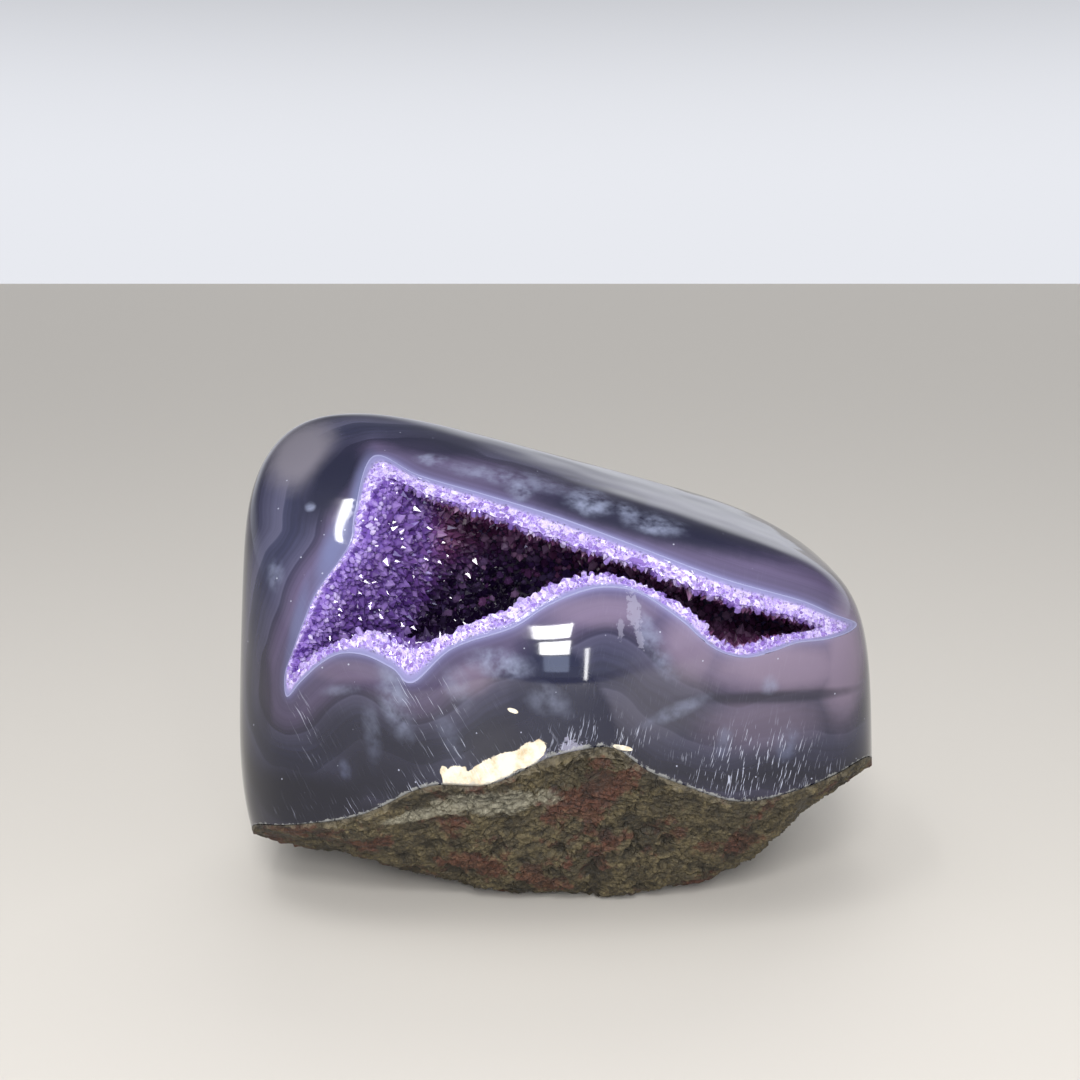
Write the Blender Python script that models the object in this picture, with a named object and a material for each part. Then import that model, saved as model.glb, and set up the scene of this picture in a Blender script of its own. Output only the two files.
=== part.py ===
"""A polished amethyst geode, standing on the small flat of its rough underside.

The stone is one grown thing in three layers, and each is a solid of its own:
  agate_shell      the banded agate, ground to a smooth rounded block, with a hollow that opens at the front
  amethyst_crust   the crust of pointed amethyst crystals that lines the hollow
  rough_rind       the natural skin that was left unground under the stone and up its lower back

X runs to the right, Y away from the front and Z up. The origin is the middle of the flat that it rests on.
"""

import math

import bmesh
import bpy
import numpy as np
from mathutils import Vector, noise
from mathutils.bvhtree import BVHTree

# Driving dimensions, in millimetres and degrees
MM = 0.001
MIDDLE = np.array([0.0, 4.0, 68.0])

# The flats that the block was ground to: azimuth (0 right, 90 back, 180 left, 270 front), elevation, distance
# of the flat from MIDDLE. They melt into one another at rounded corners.
GROUND_FLATS = (
    (0, 2, 94),
    (0, 42, 81.5),
    (0, 73, 53),
    (180, 80, 85),
    (180, 45, 114),
    (180, 3, 94),
    (180, -40, 106),
    (262, 2, 60),
    (284, 2, 60),
    (268, 34, 55),
    (264, 60, 62),
    (226, 4, 85),
    (314, 4, 85),
    (90, 0, 61),
    (90, 42, 70),
    (134, 4, 88),
    (46, 2, 88),
    (0, -90, 95),
)
GROUND_SHARPNESS = 13
# Broad swells left by hand polishing: azimuth, elevation, height, angular width
GROUND_SWELLS = (
    (272, 12, 2.2, 22),
    (238, 2, 1.6, 16),
    (252, -4, -1.6, 13),
    (300, -2, -1.2, 20),
    (262, 74, -1.0, 25),
)

# The natural outside of the geode, which the grinding only left below
NATURAL_FLATS = (
    (0, -90, 70),
    (180, -76, 73.5),
    (0, -71, 77),
    (0, -47, 91),
    (275, -28, 61.5),
    (90, -30, 61),
    (248, -54, 75),
    (312, -33, 83.5),
    (90, 0, 70),
    (180, 0, 130),
    (0, 0, 124),
    (270, 45, 84),
    (90, 50, 90),
    (0, 90, 100),
)
NATURAL_SHARPNESS = 18
NATURAL_SWELLS = (
    (286, -14, -2.5, 9),
    (318, -22, 2.5, 12),
    (350, -34, -7.5, 10),
    (236, -22, -2.0, 12),
)
NATURAL_LUMP = 2.4
NATURAL_LUMP_SIZE = 24.0
NATURAL_PIT = 1.8
NATURAL_PIT_SIZE = 10.0
NATURAL_PIT_MEAN = 0.25
RIND_AT_EDGE = 1.3
RIND_BELOW = 4.2
# The rind thickens downwards from the first elevation to the second
RIND_THICKENS = (-25.0, -60.0)
GAP = 0.35

# The mouth of the hollow, seen from the front and clockwise from its top left corner. Each row gives X and
# height of the agate's edge, then X and height of the crystals' edge beside it.
MOUTH = (
    (-52.5, 127.5, -48.0, 122.0),
    (-38.5, 123.0, -36.5, 118.5),
    (-20.0, 118.5, -20.5, 114.0),
    (1.0, 113.0, 0.0, 107.5),
    (22.5, 106.0, 22.5, 101.0),
    (44.0, 98.5, 43.5, 93.0),
    (65.0, 92.0, 62.5, 87.5),
    (75.5, 87.0, 68.5, 85.5),
    (85.0, 81.5, 72.5, 84.2),
    (76.0, 80.0, 69.5, 83.2),
    (66.0, 80.0, 62.0, 82.8),
    (58.0, 78.0, 55.0, 82.0),
    (51.0, 77.0, 48.8, 80.5),
    (44.0, 79.0, 43.5, 82.5),
    (38.5, 83.0, 39.5, 87.0),
    (33.0, 88.0, 35.0, 91.5),
    (22.0, 95.0, 24.0, 97.3),
    (13.0, 96.5, 13.5, 100.0),
    (5.0, 95.0, 4.5, 99.5),
    (-3.5, 91.5, -3.0, 97.0),
    (-12.0, 86.5, -13.0, 92.0),
    (-28.0, 81.0, -29.0, 85.5),
    (-38.5, 72.0, -38.5, 81.5),
    (-44.0, 75.5, -43.0, 83.5),
    (-51.5, 78.5, -49.5, 85.5),
    (-58.5, 78.5, -57.0, 83.0),
    (-64.5, 75.0, -63.5, 80.0),
    (-70.0, 69.5, -69.0, 75.5),
    (-74.0, 65.0, -71.5, 72.5),
    (-74.5, 71.0, -72.0, 76.5),
    (-72.0, 78.0, -69.5, 82.0),
    (-68.5, 87.0, -66.0, 89.0),
    (-65.0, 94.5, -63.0, 95.5),
    (-57.0, 106.0, -54.5, 106.5),
    (-56.0, 114.0, -53.0, 114.0),
)
IN_FRONT = -120.0
MOUTH_SAMPLES = 64
DENSE_SAMPLES = 360
RIGHT_CORNER = 8
LEFT_CORNER = 28

# The widest section of the hollow behind the mouth, and its deepest point
CHAMBER_Y = -4.0
CHAMBER_FLOOR = 62.0
CHAMBER_FLOOR_RISE = 3.0
CHAMBER_HALF_LENGTH = 75.0
LEFT_WALL_SLANT = 24.0
LEFT_WALL_START = -18.0
LEFT_WALL_RUN = 50.0
LOWER_LEFT_SLANT = 0.7
CEILING_DROP = 1.5
CEILING_TOP = 116.0
CHAMBER_LEAN = 0.3
HOLLOW_DEEPEST = np.array([-6.0, 26.0, 83.0])
WALL_SHARES = (0.0, 0.3, 0.65, 1.0, 1.4, 1.7)
WALL_BULGE = 0.7
CHAMBER_SMOOTHING = 30

# The crystal crust
CRUST_THICKNESS = 8.0
CRUST_SPINE = np.array([[-20.0, 96.0], [60.0, 77.0]])
CRYSTAL_SPACING = 6.2
CRYSTAL_ROW_SPACING = 5.2
CRYSTAL_HEIGHT = 3.4
CRYSTAL_HEIGHT_SPREAD = (0.7, 1.25)
CRYSTAL_SHARE_OF_ROOM = 0.3
CRYSTAL_LEAN = 0.22
CRYSTAL_SEED = 11
LEAST_HALF_ROOM = 1.5
LEAST_CRYSTALS_IN_ROW = 6
CUTTER_REACH = 14.0
OUTWARD = np.array([0.0, -0.8, 0.6])
SHARP_EDGE = 40
STONE_DETAIL = 4
RIND_DETAIL = 5


def unit_rows(angles):
    """Unit vectors for (azimuth, elevation) in degrees."""
    azimuth, elevation = np.radians(np.array(angles, float).T)
    return np.stack(
        [
            np.cos(azimuth) * np.cos(elevation),
            np.sin(azimuth) * np.cos(elevation),
            np.sin(elevation),
        ],
        axis=1,
    )


def rounded_reach(directions, flats, sharpness):
    """How far a block with these flats reaches from its middle, its corners rounded off."""
    flats = np.array(flats, float)
    closeness = np.clip(directions @ unit_rows(flats[:, :2]).T, 0, None) / flats[:, 2]
    return (closeness**sharpness).sum(axis=1) ** (-1 / sharpness)


def swell(directions, swells):
    """How far the swells raise or lower the surface in these directions."""
    total = np.zeros(len(directions))
    for azimuth, elevation, height, width in swells:
        cosine = directions @ unit_rows([(azimuth, elevation)])[0]
        angle = np.degrees(np.arccos(np.clip(cosine, -1, 1)))
        total += height * np.exp(-((angle / width) ** 2))
    return total


def polished_reach(directions):
    """How far the ground and polished block reaches from its middle."""
    return rounded_reach(directions, GROUND_FLATS, GROUND_SHARPNESS) + swell(directions, GROUND_SWELLS)


def weathered_reach(directions):
    """The natural lump under its small pits."""
    reach = rounded_reach(directions, NATURAL_FLATS, NATURAL_SHARPNESS) + swell(directions, NATURAL_SWELLS)
    lumps = [noise.noise(Vector(d * far) / NATURAL_LUMP_SIZE) for d, far in zip(directions, reach)]
    return reach + NATURAL_LUMP * np.array(lumps)


def natural_reach(directions):
    """The rough outside, with its pits and ridges."""
    reach = weathered_reach(directions)
    pits = [abs(noise.noise(Vector(d * far) / NATURAL_PIT_SIZE)) for d, far in zip(directions, reach)]
    return reach + NATURAL_PIT * (NATURAL_PIT_MEAN - np.array(pits))


def rind_thickness(directions):
    """Thin where the grinding cut through it, thicker under the stone."""
    elevation = np.degrees(np.arcsin(directions[:, 2]))
    start, end = RIND_THICKENS
    share = np.clip((start - elevation) / (start - end), 0, 1)
    share = share * share * (3 - 2 * share)
    return RIND_AT_EDGE + (RIND_BELOW - RIND_AT_EDGE) * share


def inside_polished(points):
    """Below 1 inside the polished block."""
    offset = points - MIDDLE
    far = np.linalg.norm(offset, axis=1)
    return far / polished_reach(offset / far[:, None])


def on_polished_front(outline):
    """The outline's X and Z carried along Y onto the front of the polished block."""
    outline = np.array(outline, float)
    front = np.full(len(outline), IN_FRONT)
    back = np.full(len(outline), MIDDLE[1])
    for _ in range(40):
        y = (front + back) / 2
        outside = inside_polished(np.column_stack([outline[:, 0], y, outline[:, 1]])) > 1
        front = np.where(outside, y, front)
        back = np.where(outside, back, y)
    return np.column_stack([outline[:, 0], (front + back) / 2, outline[:, 1]])


def closed_curve(points, samples):
    """Evenly many points on a smooth closed curve through the given ones."""
    points = np.array(points, float)
    count = len(points)
    made = []
    for place in np.arange(samples) * count / samples:
        i, t = int(place), place - int(place)
        a, b, c, d = (points[(i + k) % count] for k in (-1, 0, 1, 2))
        made.append(
            0.5 * (2 * b + (c - a) * t + (2 * a - 5 * b + 4 * c - d) * t**2 + (3 * b - a - 3 * c + d) * t**3)
        )
    return np.array(made)


def smoothed(ring, reach):
    """Each point of a closed ring averaged with its neighbours."""
    return sum(np.roll(ring, shift, axis=0) for shift in range(-reach, reach + 1)) / (2 * reach + 1)


def ring_measure(rings):
    """How far around a ring each of its points is, as a share, on the mean of several rings."""
    lengths = [np.linalg.norm(np.roll(ring, -1, axis=0) - ring, axis=1) for ring in rings]
    mean = sum(length / length.sum() for length in lengths) / len(lengths)
    return np.concatenate([[0], np.cumsum(mean)])


def sampled(ring, measure, count, phase=0.0):
    """Evenly many points of a dense ring. A phase of a half puts them between those of phase 0."""
    closed = np.vstack([ring, ring[:1]])
    wanted = (np.arange(count) + phase) / count
    return np.column_stack([np.interp(wanted, measure, closed[:, k]) for k in range(3)])


def perimeter(ring):
    """The length of a closed ring."""
    return np.linalg.norm(ring - np.roll(ring, 1, axis=0), axis=1).sum()


def chamber_outline(rim):
    """The hollow's widest section: the rim, with a slanting left wall and a floor below the lip."""
    places = np.arange(len(rim)) * len(MOUTH) / len(rim)
    lower = (places > RIGHT_CORNER) & (places < LEFT_CORNER)
    left = np.clip((LEFT_WALL_START - rim[:, 0]) / LEFT_WALL_RUN, 0, 1)
    x = rim[:, 0] + LEFT_WALL_SLANT * left * (2 - left) * np.where(lower, LOWER_LEFT_SLANT, 1)
    floor = CHAMBER_FLOOR + CHAMBER_FLOOR_RISE * (rim[:, 0] / CHAMBER_HALF_LENGTH) ** 2
    ceiling = np.minimum(rim[:, 2] - CEILING_DROP, CEILING_TOP)
    z = np.where(lower, np.minimum(rim[:, 2], floor), ceiling)
    y = CHAMBER_Y + CHAMBER_LEAN * (z - HOLLOW_DEEPEST[2])
    outline = np.column_stack([x, y, z])
    return smoothed(outline, len(rim) // CHAMBER_SMOOTHING)


def within_spine(outline, thickness):
    """The outline moved in towards the middle line of the hollow."""
    start, end = CRUST_SPINE
    run = end - start
    flat = outline[:, [0, 2]]
    share = np.clip((flat - start) @ run / (run @ run), 0, 1)
    nearest = start + share[:, None] * run
    away = flat - nearest
    far = np.linalg.norm(away, axis=1)
    moved = nearest + away * (np.maximum(far - thickness, LEAST_HALF_ROOM) / far)[:, None]
    return np.column_stack([moved[:, 0], outline[:, 1], moved[:, 1]])


def hollow_ring(rim, chamber, deepest, share):
    """A ring of the hollow: 0 is the rim, 1 the widest section and 2 the deepest point."""
    if share <= 1:
        ring = rim + (chamber - rim) * share**WALL_BULGE
        ring[:, 1] = rim[:, 1] + (chamber[:, 1] - rim[:, 1]) * share
        return ring
    width = math.sqrt(1 - (share - 1) ** 2)
    ring = deepest + (chamber - deepest) * width
    ring[:, 1] = chamber[:, 1] + (deepest[1] - chamber[:, 1]) * (share - 1)
    return ring


def new_object(name, mesh_data):
    """An object of this mesh, put into the scene."""
    piece = bpy.data.objects.new(name, mesh_data)
    bpy.context.scene.collection.objects.link(piece)
    return piece


def mesh_from(name, points, faces):
    """A mesh from millimetre points."""
    data = bpy.data.meshes.new(name)
    data.from_pydata((np.array(points) * MM).tolist(), [], faces)
    data.validate()
    return data


def round_stone(name, reach_of, detail, shrink=None):
    """A sphere pushed out to a stone's outside."""
    form = bmesh.new()
    bmesh.ops.create_icosphere(form, subdivisions=detail, radius=1.0)
    directions = np.array([v.co.normalized() for v in form.verts])
    reach = reach_of(directions)
    if shrink is not None:
        reach = reach - shrink(directions)
    for vertex, direction, far in zip(form.verts, directions, reach):
        vertex.co = Vector((MIDDLE + direction * far) * MM)
    data = bpy.data.meshes.new(name)
    form.to_mesh(data)
    form.free()
    return new_object(name, data)


def stitch(first, second, start_first, start_second):
    """Triangles between two rings, each given as its points and its phase. Their numbers of points may differ."""
    (first, first_phase), (second, second_phase) = first, second
    n, m = len(first), len(second)
    faces = []
    i = j = 0
    while i < n or j < m:
        a, b = start_first + i % n, start_second + j % m
        if j == m or (i < n and (i + 1 + first_phase) / n <= (j + 1 + second_phase) / m):
            faces.append((a, b, start_first + (i + 1) % n))
            i += 1
        else:
            faces.append((a, b, start_second + (j + 1) % m))
            j += 1
    return faces


def skin(rings, first_tip=None, last_tip=None):
    """Points and triangles of a skin over rings, closed at its tips, and the first index of each ring."""
    points = [] if first_tip is None else [first_tip]
    starts = []
    for ring, _ in rings:
        starts.append(len(points))
        points.extend(ring)
    faces = []
    if first_tip is not None:
        n = len(rings[0][0])
        faces += [(0, starts[0] + i, starts[0] + (i + 1) % n) for i in range(n)]
    for k in range(len(rings) - 1):
        faces += stitch(rings[k], rings[k + 1], starts[k], starts[k + 1])
    if last_tip is not None:
        n = len(rings[-1][0])
        points.append(last_tip)
        faces += [(starts[-1] + (i + 1) % n, starts[-1] + i, len(points) - 1) for i in range(n)]
    return np.array(points), faces, starts


def facing_out(data):
    """Turns all the faces of a closed mesh outwards."""
    form = bmesh.new()
    form.from_mesh(data)
    bmesh.ops.recalc_face_normals(form, faces=form.faces)
    form.to_mesh(data)
    form.free()


def cut(piece, cutter, operation):
    """Cuts a piece with a Boolean, and leaves the cutter out of the render."""
    modifier = piece.modifiers.new(operation.lower(), "BOOLEAN")
    modifier.object = cutter
    modifier.operation = operation
    modifier.solver = "EXACT"
    cutter.hide_render = True
    cutter.display_type = "WIRE"
    return modifier


def stone_material(name, colour, roughness):
    """A plain material in a stone's own colour."""
    material = bpy.data.materials.new(name)
    material.use_nodes = True
    shader = material.node_tree.nodes["Principled BSDF"]
    shader.inputs["Base Color"].default_value = (*colour, 1)
    shader.inputs["Roughness"].default_value = roughness
    shader.inputs["Metallic"].default_value = 0
    return material


def hollow_outlines():
    """Dense outlines of the agate's edge, the crystals' edge and the widest section, and the rings' measure."""
    agate_edge = on_polished_front(closed_curve([row[:2] for row in MOUTH], DENSE_SAMPLES))
    crystal_edge = on_polished_front(closed_curve([row[2:] for row in MOUTH], DENSE_SAMPLES))
    chamber = chamber_outline(agate_edge)
    return agate_edge, crystal_edge, chamber, ring_measure([agate_edge, crystal_edge, chamber])


def hollow_wall(agate_edge, chamber, measure):
    """Rings of the hollow's wall in the agate, from the rim inwards."""
    rings = [hollow_ring(agate_edge, chamber, HOLLOW_DEEPEST, share) for share in WALL_SHARES]
    return [(sampled(ring, measure, MOUTH_SAMPLES), 0) for ring in rings]


def hollow_cutter(wall):
    """A closed plug of the hollow that also reaches out of the mouth."""
    outside = wall[0][0] + OUTWARD * CUTTER_REACH
    tip_out = outside.mean(axis=0) + OUTWARD * CUTTER_REACH
    points, faces, _ = skin([(outside, 0), *wall], tip_out, HOLLOW_DEEPEST)
    data = mesh_from("hollow_cutter", points, faces)
    facing_out(data)
    return new_object("hollow_cutter", data)


def crust_back(wall):
    """The wall's rings moved off the agate by a thin gap, and the deepest point."""
    points, faces, starts = skin(wall, None, HOLLOW_DEEPEST)
    data = mesh_from("crust_back", points, faces)
    form = bmesh.new()
    form.from_mesh(data)
    form.normal_update()
    normals = np.array([v.normal for v in form.verts])
    form.free()
    middle = np.array([0.0, CHAMBER_Y, CRUST_SPINE[:, 1].mean()])
    if ((points - middle) * normals).sum() > 0:
        normals = -normals
    points = points + normals * GAP
    rings = [(points[start : start + len(ring)], 0) for start, (ring, _) in zip(starts, wall)]
    return rings, points[-1]


def crystal_rings(crystal_edge, chamber, measure):
    """Evenly spaced rings of the crust's crystal side, from the rim to the deepest point."""
    chamber = within_spine(chamber, CRUST_THICKNESS)
    deepest = HOLLOW_DEEPEST - (0, CRUST_THICKNESS, 0)
    shares = np.linspace(0, 1.995, 400)
    dense = [hollow_ring(crystal_edge, chamber, deepest, share) for share in shares]
    steps = [np.linalg.norm(b - a, axis=1).mean() for a, b in zip(dense, dense[1:])]
    along = np.concatenate([[0], np.cumsum(steps)])
    count = round(along[-1] / CRYSTAL_ROW_SPACING)
    rings = []
    for k in range(count):
        ring = dense[np.searchsorted(along, along[-1] * k / count)]
        points = max(LEAST_CRYSTALS_IN_ROW, round(perimeter(ring) / CRYSTAL_SPACING))
        phase = 0.5 * (k % 2)
        rings.append((sampled(ring, measure, points, phase), phase))
    return rings, deepest


def grow_crystals(data, grown):
    """Turns the grown part of a triangle mesh into pyramids.

    Each point becomes a crystal's tip, and the middle of each triangle a hollow between crystals.
    """
    form = bmesh.new()
    form.from_mesh(data)
    form.verts.ensure_lookup_table()
    bmesh.ops.recalc_face_normals(form, faces=form.faces)
    tree = BVHTree.FromBMesh(form)
    rng = np.random.default_rng(CRYSTAL_SEED)
    faces = [f for f in form.faces if all(v.index in grown for v in f.verts)]
    edges = [e for e in {e for f in faces for e in f.edges} if all(f in faces for f in e.link_faces)]
    edges.sort(key=lambda e: e.index)
    inner = {v for e in edges for v in e.verts if all(f in faces for f in v.link_faces)}
    tips = sorted(inner, key=lambda v: v.index)
    moves = {}
    for vertex in tips:
        vertex.normal_update()
        hit = tree.ray_cast(vertex.co + vertex.normal * 0.5 * MM, vertex.normal)
        room = (hit[3] or 1.0) / MM
        height = min(CRYSTAL_HEIGHT * rng.uniform(*CRYSTAL_HEIGHT_SPREAD), CRYSTAL_SHARE_OF_ROOM * room)
        lean = Vector(rng.normal(0, CRYSTAL_LEAN, 3).tolist())
        moves[vertex] = (vertex.normal + lean).normalized() * height * MM
    bmesh.ops.poke(form, faces=faces)
    bmesh.ops.rotate_edges(form, edges=edges)
    for vertex, move in moves.items():
        vertex.co += move
    bmesh.ops.recalc_face_normals(form, faces=form.faces)
    form.to_mesh(data)
    form.free()


def build_crust(wall, crystal_edge, chamber, measure):
    """One closed crust: its back against the wall and its crystal side share the ring at the rim."""
    agate_side, behind = crust_back(wall)
    crystal_side, deepest = crystal_rings(crystal_edge, chamber, measure)
    back_points, back_faces, _ = skin(agate_side, None, behind)
    front_points, front_faces, _ = skin([agate_side[0], *crystal_side], None, deepest)
    shared = len(agate_side[0][0])
    shift = len(back_points) - shared
    front_faces = [tuple(i if i < shared else i + shift for i in face) for face in front_faces]
    points = np.vstack([back_points, front_points[shared:]])
    data = mesh_from("amethyst_crust", points, [*back_faces, *front_faces])
    grow_crystals(data, set(range(len(back_points), len(points))))
    return new_object("amethyst_crust", data)


def flatten_foot(piece):
    """Lifts the lowest points into the small flat that the stone stands on."""
    for vertex in piece.data.vertices:
        vertex.co.z = max(vertex.co.z, 0)


def main():
    for old in list(bpy.data.objects):
        bpy.data.objects.remove(old)

    agate_edge, crystal_edge, chamber, measure = hollow_outlines()
    wall = hollow_wall(agate_edge, chamber, measure)

    agate = round_stone("agate_shell", polished_reach, STONE_DETAIL)
    under_agate = round_stone("under_agate", weathered_reach, STONE_DETAIL, lambda d: rind_thickness(d) + GAP)
    cut(agate, under_agate, "INTERSECT")
    cut(agate, hollow_cutter(wall), "DIFFERENCE")

    rind = round_stone("rough_rind", natural_reach, RIND_DETAIL)
    flatten_foot(rind)
    cut(rind, round_stone("rind_inside", weathered_reach, STONE_DETAIL, rind_thickness), "DIFFERENCE")
    cut(rind, round_stone("ground_block", polished_reach, STONE_DETAIL), "INTERSECT")

    crust = build_crust(wall, crystal_edge, chamber, measure)

    agate.data.materials.append(stone_material("polished agate", (0.12, 0.12, 0.17), 0.08))
    crust.data.materials.append(stone_material("amethyst", (0.20, 0.10, 0.42), 0.12))
    rind.data.materials.append(stone_material("weathered rind", (0.08, 0.062, 0.038), 0.85))
    agate.data.shade_smooth()
    agate.data.set_sharp_from_angle(angle=math.radians(SHARP_EDGE))


main()
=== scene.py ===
import math

import bpy
import numpy as np
from mathutils import Matrix, Vector, noise
from mathutils.bvhtree import BVHTree
from mathutils.kdtree import KDTree


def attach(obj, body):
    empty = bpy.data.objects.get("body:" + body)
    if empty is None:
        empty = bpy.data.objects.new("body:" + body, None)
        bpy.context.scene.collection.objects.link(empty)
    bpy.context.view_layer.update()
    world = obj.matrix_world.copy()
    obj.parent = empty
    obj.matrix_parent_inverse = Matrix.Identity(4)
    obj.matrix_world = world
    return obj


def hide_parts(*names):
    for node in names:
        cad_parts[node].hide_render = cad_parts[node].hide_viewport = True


# %% [markdown]
# # A polished amethyst geode
# A geode is a bubble in old lava that agate lined first and amethyst crystals filled after it. This one was cut
# open at the front, ground to a smooth rounded block and polished, but its underside was left as it came out of
# the rock. The solids give the stone's true size. Here each of its three layers gets its fine form and finish.

# %% Load the solids
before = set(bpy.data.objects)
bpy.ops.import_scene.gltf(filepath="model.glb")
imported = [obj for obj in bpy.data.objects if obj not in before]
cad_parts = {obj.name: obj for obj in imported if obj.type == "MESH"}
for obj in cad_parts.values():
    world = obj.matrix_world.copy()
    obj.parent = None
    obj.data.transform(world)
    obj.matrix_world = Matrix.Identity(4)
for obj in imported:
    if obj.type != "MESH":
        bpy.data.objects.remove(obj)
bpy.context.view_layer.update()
MM = 0.001


# %% [markdown]
# ## The form of the stone
# A hand-ground stone has no true flats and no sharp corners. It could be sculpted, but then nothing in it can be
# changed later by a number. So the form is written as a handful of flats around a middle point, each with its
# direction and distance, which melt into one another where they meet. The same rule gives the rough outside that
# the stone had before it was ground.

# %% Directions and flats
MIDDLE = np.array([0.0, 4.0, 68.0])

# azimuth (0 right, 90 back, 180 left, 270 front), elevation, distance in millimetres
GROUND_FLATS = (
    (0, 2, 94),
    (0, 42, 81.5),
    (0, 73, 53),
    (180, 80, 85),
    (180, 45, 114),
    (180, 3, 94),
    (180, -40, 106),
    (262, 2, 60),
    (284, 2, 60),
    (268, 34, 55),
    (264, 60, 62),
    (226, 4, 85),
    (314, 4, 85),
    (90, 0, 61),
    (90, 42, 70),
    (134, 4, 88),
    (46, 2, 88),
    (0, -90, 95),
)
GROUND_SHARPNESS = 13
GROUND_SWELLS = (
    (272, 12, 2.2, 22),
    (238, 2, 1.6, 16),
    (252, -4, -1.6, 13),
    (300, -2, -1.2, 20),
    (262, 74, -1.0, 25),
)
NATURAL_FLATS = (
    (0, -90, 70),
    (180, -76, 73.5),
    (0, -71, 77),
    (0, -47, 91),
    (275, -28, 61.5),
    (90, -30, 61),
    (248, -54, 75),
    (312, -33, 83.5),
    (90, 0, 70),
    (180, 0, 130),
    (0, 0, 124),
    (270, 45, 84),
    (90, 50, 90),
    (0, 90, 100),
)
NATURAL_SHARPNESS = 18
NATURAL_SWELLS = (
    (286, -14, -2.5, 9),
    (318, -22, 2.5, 12),
    (350, -34, -7.5, 10),
    (236, -22, -2.0, 12),
)


# %% From flats to a reach
def unit_rows(angles):
    """Unit vectors for (azimuth, elevation) in degrees."""
    azimuth, elevation = np.radians(np.array(angles, float).T)
    across = np.cos(elevation)
    return np.stack([np.cos(azimuth) * across, np.sin(azimuth) * across, np.sin(elevation)], axis=1)


def rounded_reach(directions, flats, sharpness):
    """How far a block with these flats reaches from its middle, its corners rounded off."""
    flats = np.array(flats, float)
    closeness = np.clip(directions @ unit_rows(flats[:, :2]).T, 0, None) / flats[:, 2]
    return (closeness**sharpness).sum(axis=1) ** (-1 / sharpness)


def swell(directions, swells):
    """Broad bumps and dents, each given by azimuth, elevation, height and angular width."""
    total = np.zeros(len(directions))
    for azimuth, elevation, height, width in swells:
        cosine = directions @ unit_rows([(azimuth, elevation)])[0]
        angle = np.degrees(np.arccos(np.clip(cosine, -1, 1)))
        total += height * np.exp(-((angle / width) ** 2))
    return total


def polished_reach(directions):
    return rounded_reach(directions, GROUND_FLATS, GROUND_SHARPNESS) + swell(directions, GROUND_SWELLS)


def noise_at(points, size, octaves=1):
    """Smooth noise between about -1 and 1 at points in millimetres."""
    if octaves == 1:
        return np.array([noise.noise(Vector(point) / size) for point in points])
    return np.array([noise.fractal(Vector(point) / size, 0.9, 2.1, octaves) for point in points])


# %% [markdown]
# ## The mouth and the hollow
# The hollow opens in a long slanting mouth with rounded lobes of agate standing up into it. Each row below is one
# point of its edge, seen from the front: where the agate ends, and where the cut crystals beside it end. The rows
# are carried straight back onto the curved front of the stone, so the mouth follows the polish exactly.

# %% The mouth's outline
MOUTH = (
    (-52.5, 127.5, -48.0, 122.0),
    (-38.5, 123.0, -36.5, 118.5),
    (-20.0, 118.5, -20.5, 114.0),
    (1.0, 113.0, 0.0, 107.5),
    (22.5, 106.0, 22.5, 101.0),
    (44.0, 98.5, 43.5, 93.0),
    (65.0, 92.0, 62.5, 87.5),
    (75.5, 87.0, 68.5, 85.5),
    (85.0, 81.5, 72.5, 84.2),
    (76.0, 80.0, 69.5, 83.2),
    (66.0, 80.0, 62.0, 82.8),
    (58.0, 78.0, 55.0, 82.0),
    (51.0, 77.0, 48.8, 80.5),
    (44.0, 79.0, 43.5, 82.5),
    (38.5, 83.0, 39.5, 87.0),
    (33.0, 88.0, 35.0, 91.5),
    (22.0, 95.0, 24.0, 97.3),
    (13.0, 96.5, 13.5, 100.0),
    (5.0, 95.0, 4.5, 99.5),
    (-3.5, 91.5, -3.0, 97.0),
    (-12.0, 86.5, -13.0, 92.0),
    (-28.0, 81.0, -29.0, 85.5),
    (-38.5, 72.0, -38.5, 81.5),
    (-44.0, 75.5, -43.0, 83.5),
    (-51.5, 78.5, -49.5, 85.5),
    (-58.5, 78.5, -57.0, 83.0),
    (-64.5, 75.0, -63.5, 80.0),
    (-70.0, 69.5, -69.0, 75.5),
    (-74.0, 65.0, -71.5, 72.5),
    (-74.5, 71.0, -72.0, 76.5),
    (-72.0, 78.0, -69.5, 82.0),
    (-68.5, 87.0, -66.0, 89.0),
    (-65.0, 94.5, -63.0, 95.5),
    (-57.0, 106.0, -54.5, 106.5),
    (-56.0, 114.0, -53.0, 114.0),
)
RIGHT_CORNER = 8
LEFT_CORNER = 28
AROUND = 480


def on_polished_front(outline):
    """The outline's X and Z carried along Y onto the front of the polished block."""
    outline = np.array(outline, float)
    front = np.full(len(outline), -120.0)
    back = np.full(len(outline), MIDDLE[1])
    for _ in range(40):
        y = (front + back) / 2
        offset = np.column_stack([outline[:, 0], y, outline[:, 1]]) - MIDDLE
        far = np.linalg.norm(offset, axis=1)
        outside = far > polished_reach(offset / far[:, None])
        front = np.where(outside, y, front)
        back = np.where(outside, back, y)
    return np.column_stack([outline[:, 0], (front + back) / 2, outline[:, 1]])


def closed_curve(points, samples):
    """Evenly many points on a smooth closed curve through the given ones."""
    points = np.array(points, float)
    count = len(points)
    made = []
    for place in np.arange(samples) * count / samples:
        i, t = int(place), place - int(place)
        a, b, c, d = (points[(i + k) % count] for k in (-1, 0, 1, 2))
        cubic = 2 * a - 5 * b + 4 * c - d, 3 * b - a - 3 * c + d
        made.append(0.5 * (2 * b + (c - a) * t + cubic[0] * t**2 + cubic[1] * t**3))
    return np.array(made)


agate_edge = on_polished_front(closed_curve([row[:2] for row in MOUTH], AROUND))
crystal_edge = on_polished_front(closed_curve([row[2:] for row in MOUTH], AROUND))
print("mouth from", agate_edge.min(axis=0).round(1), "to", agate_edge.max(axis=0).round(1))

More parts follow.
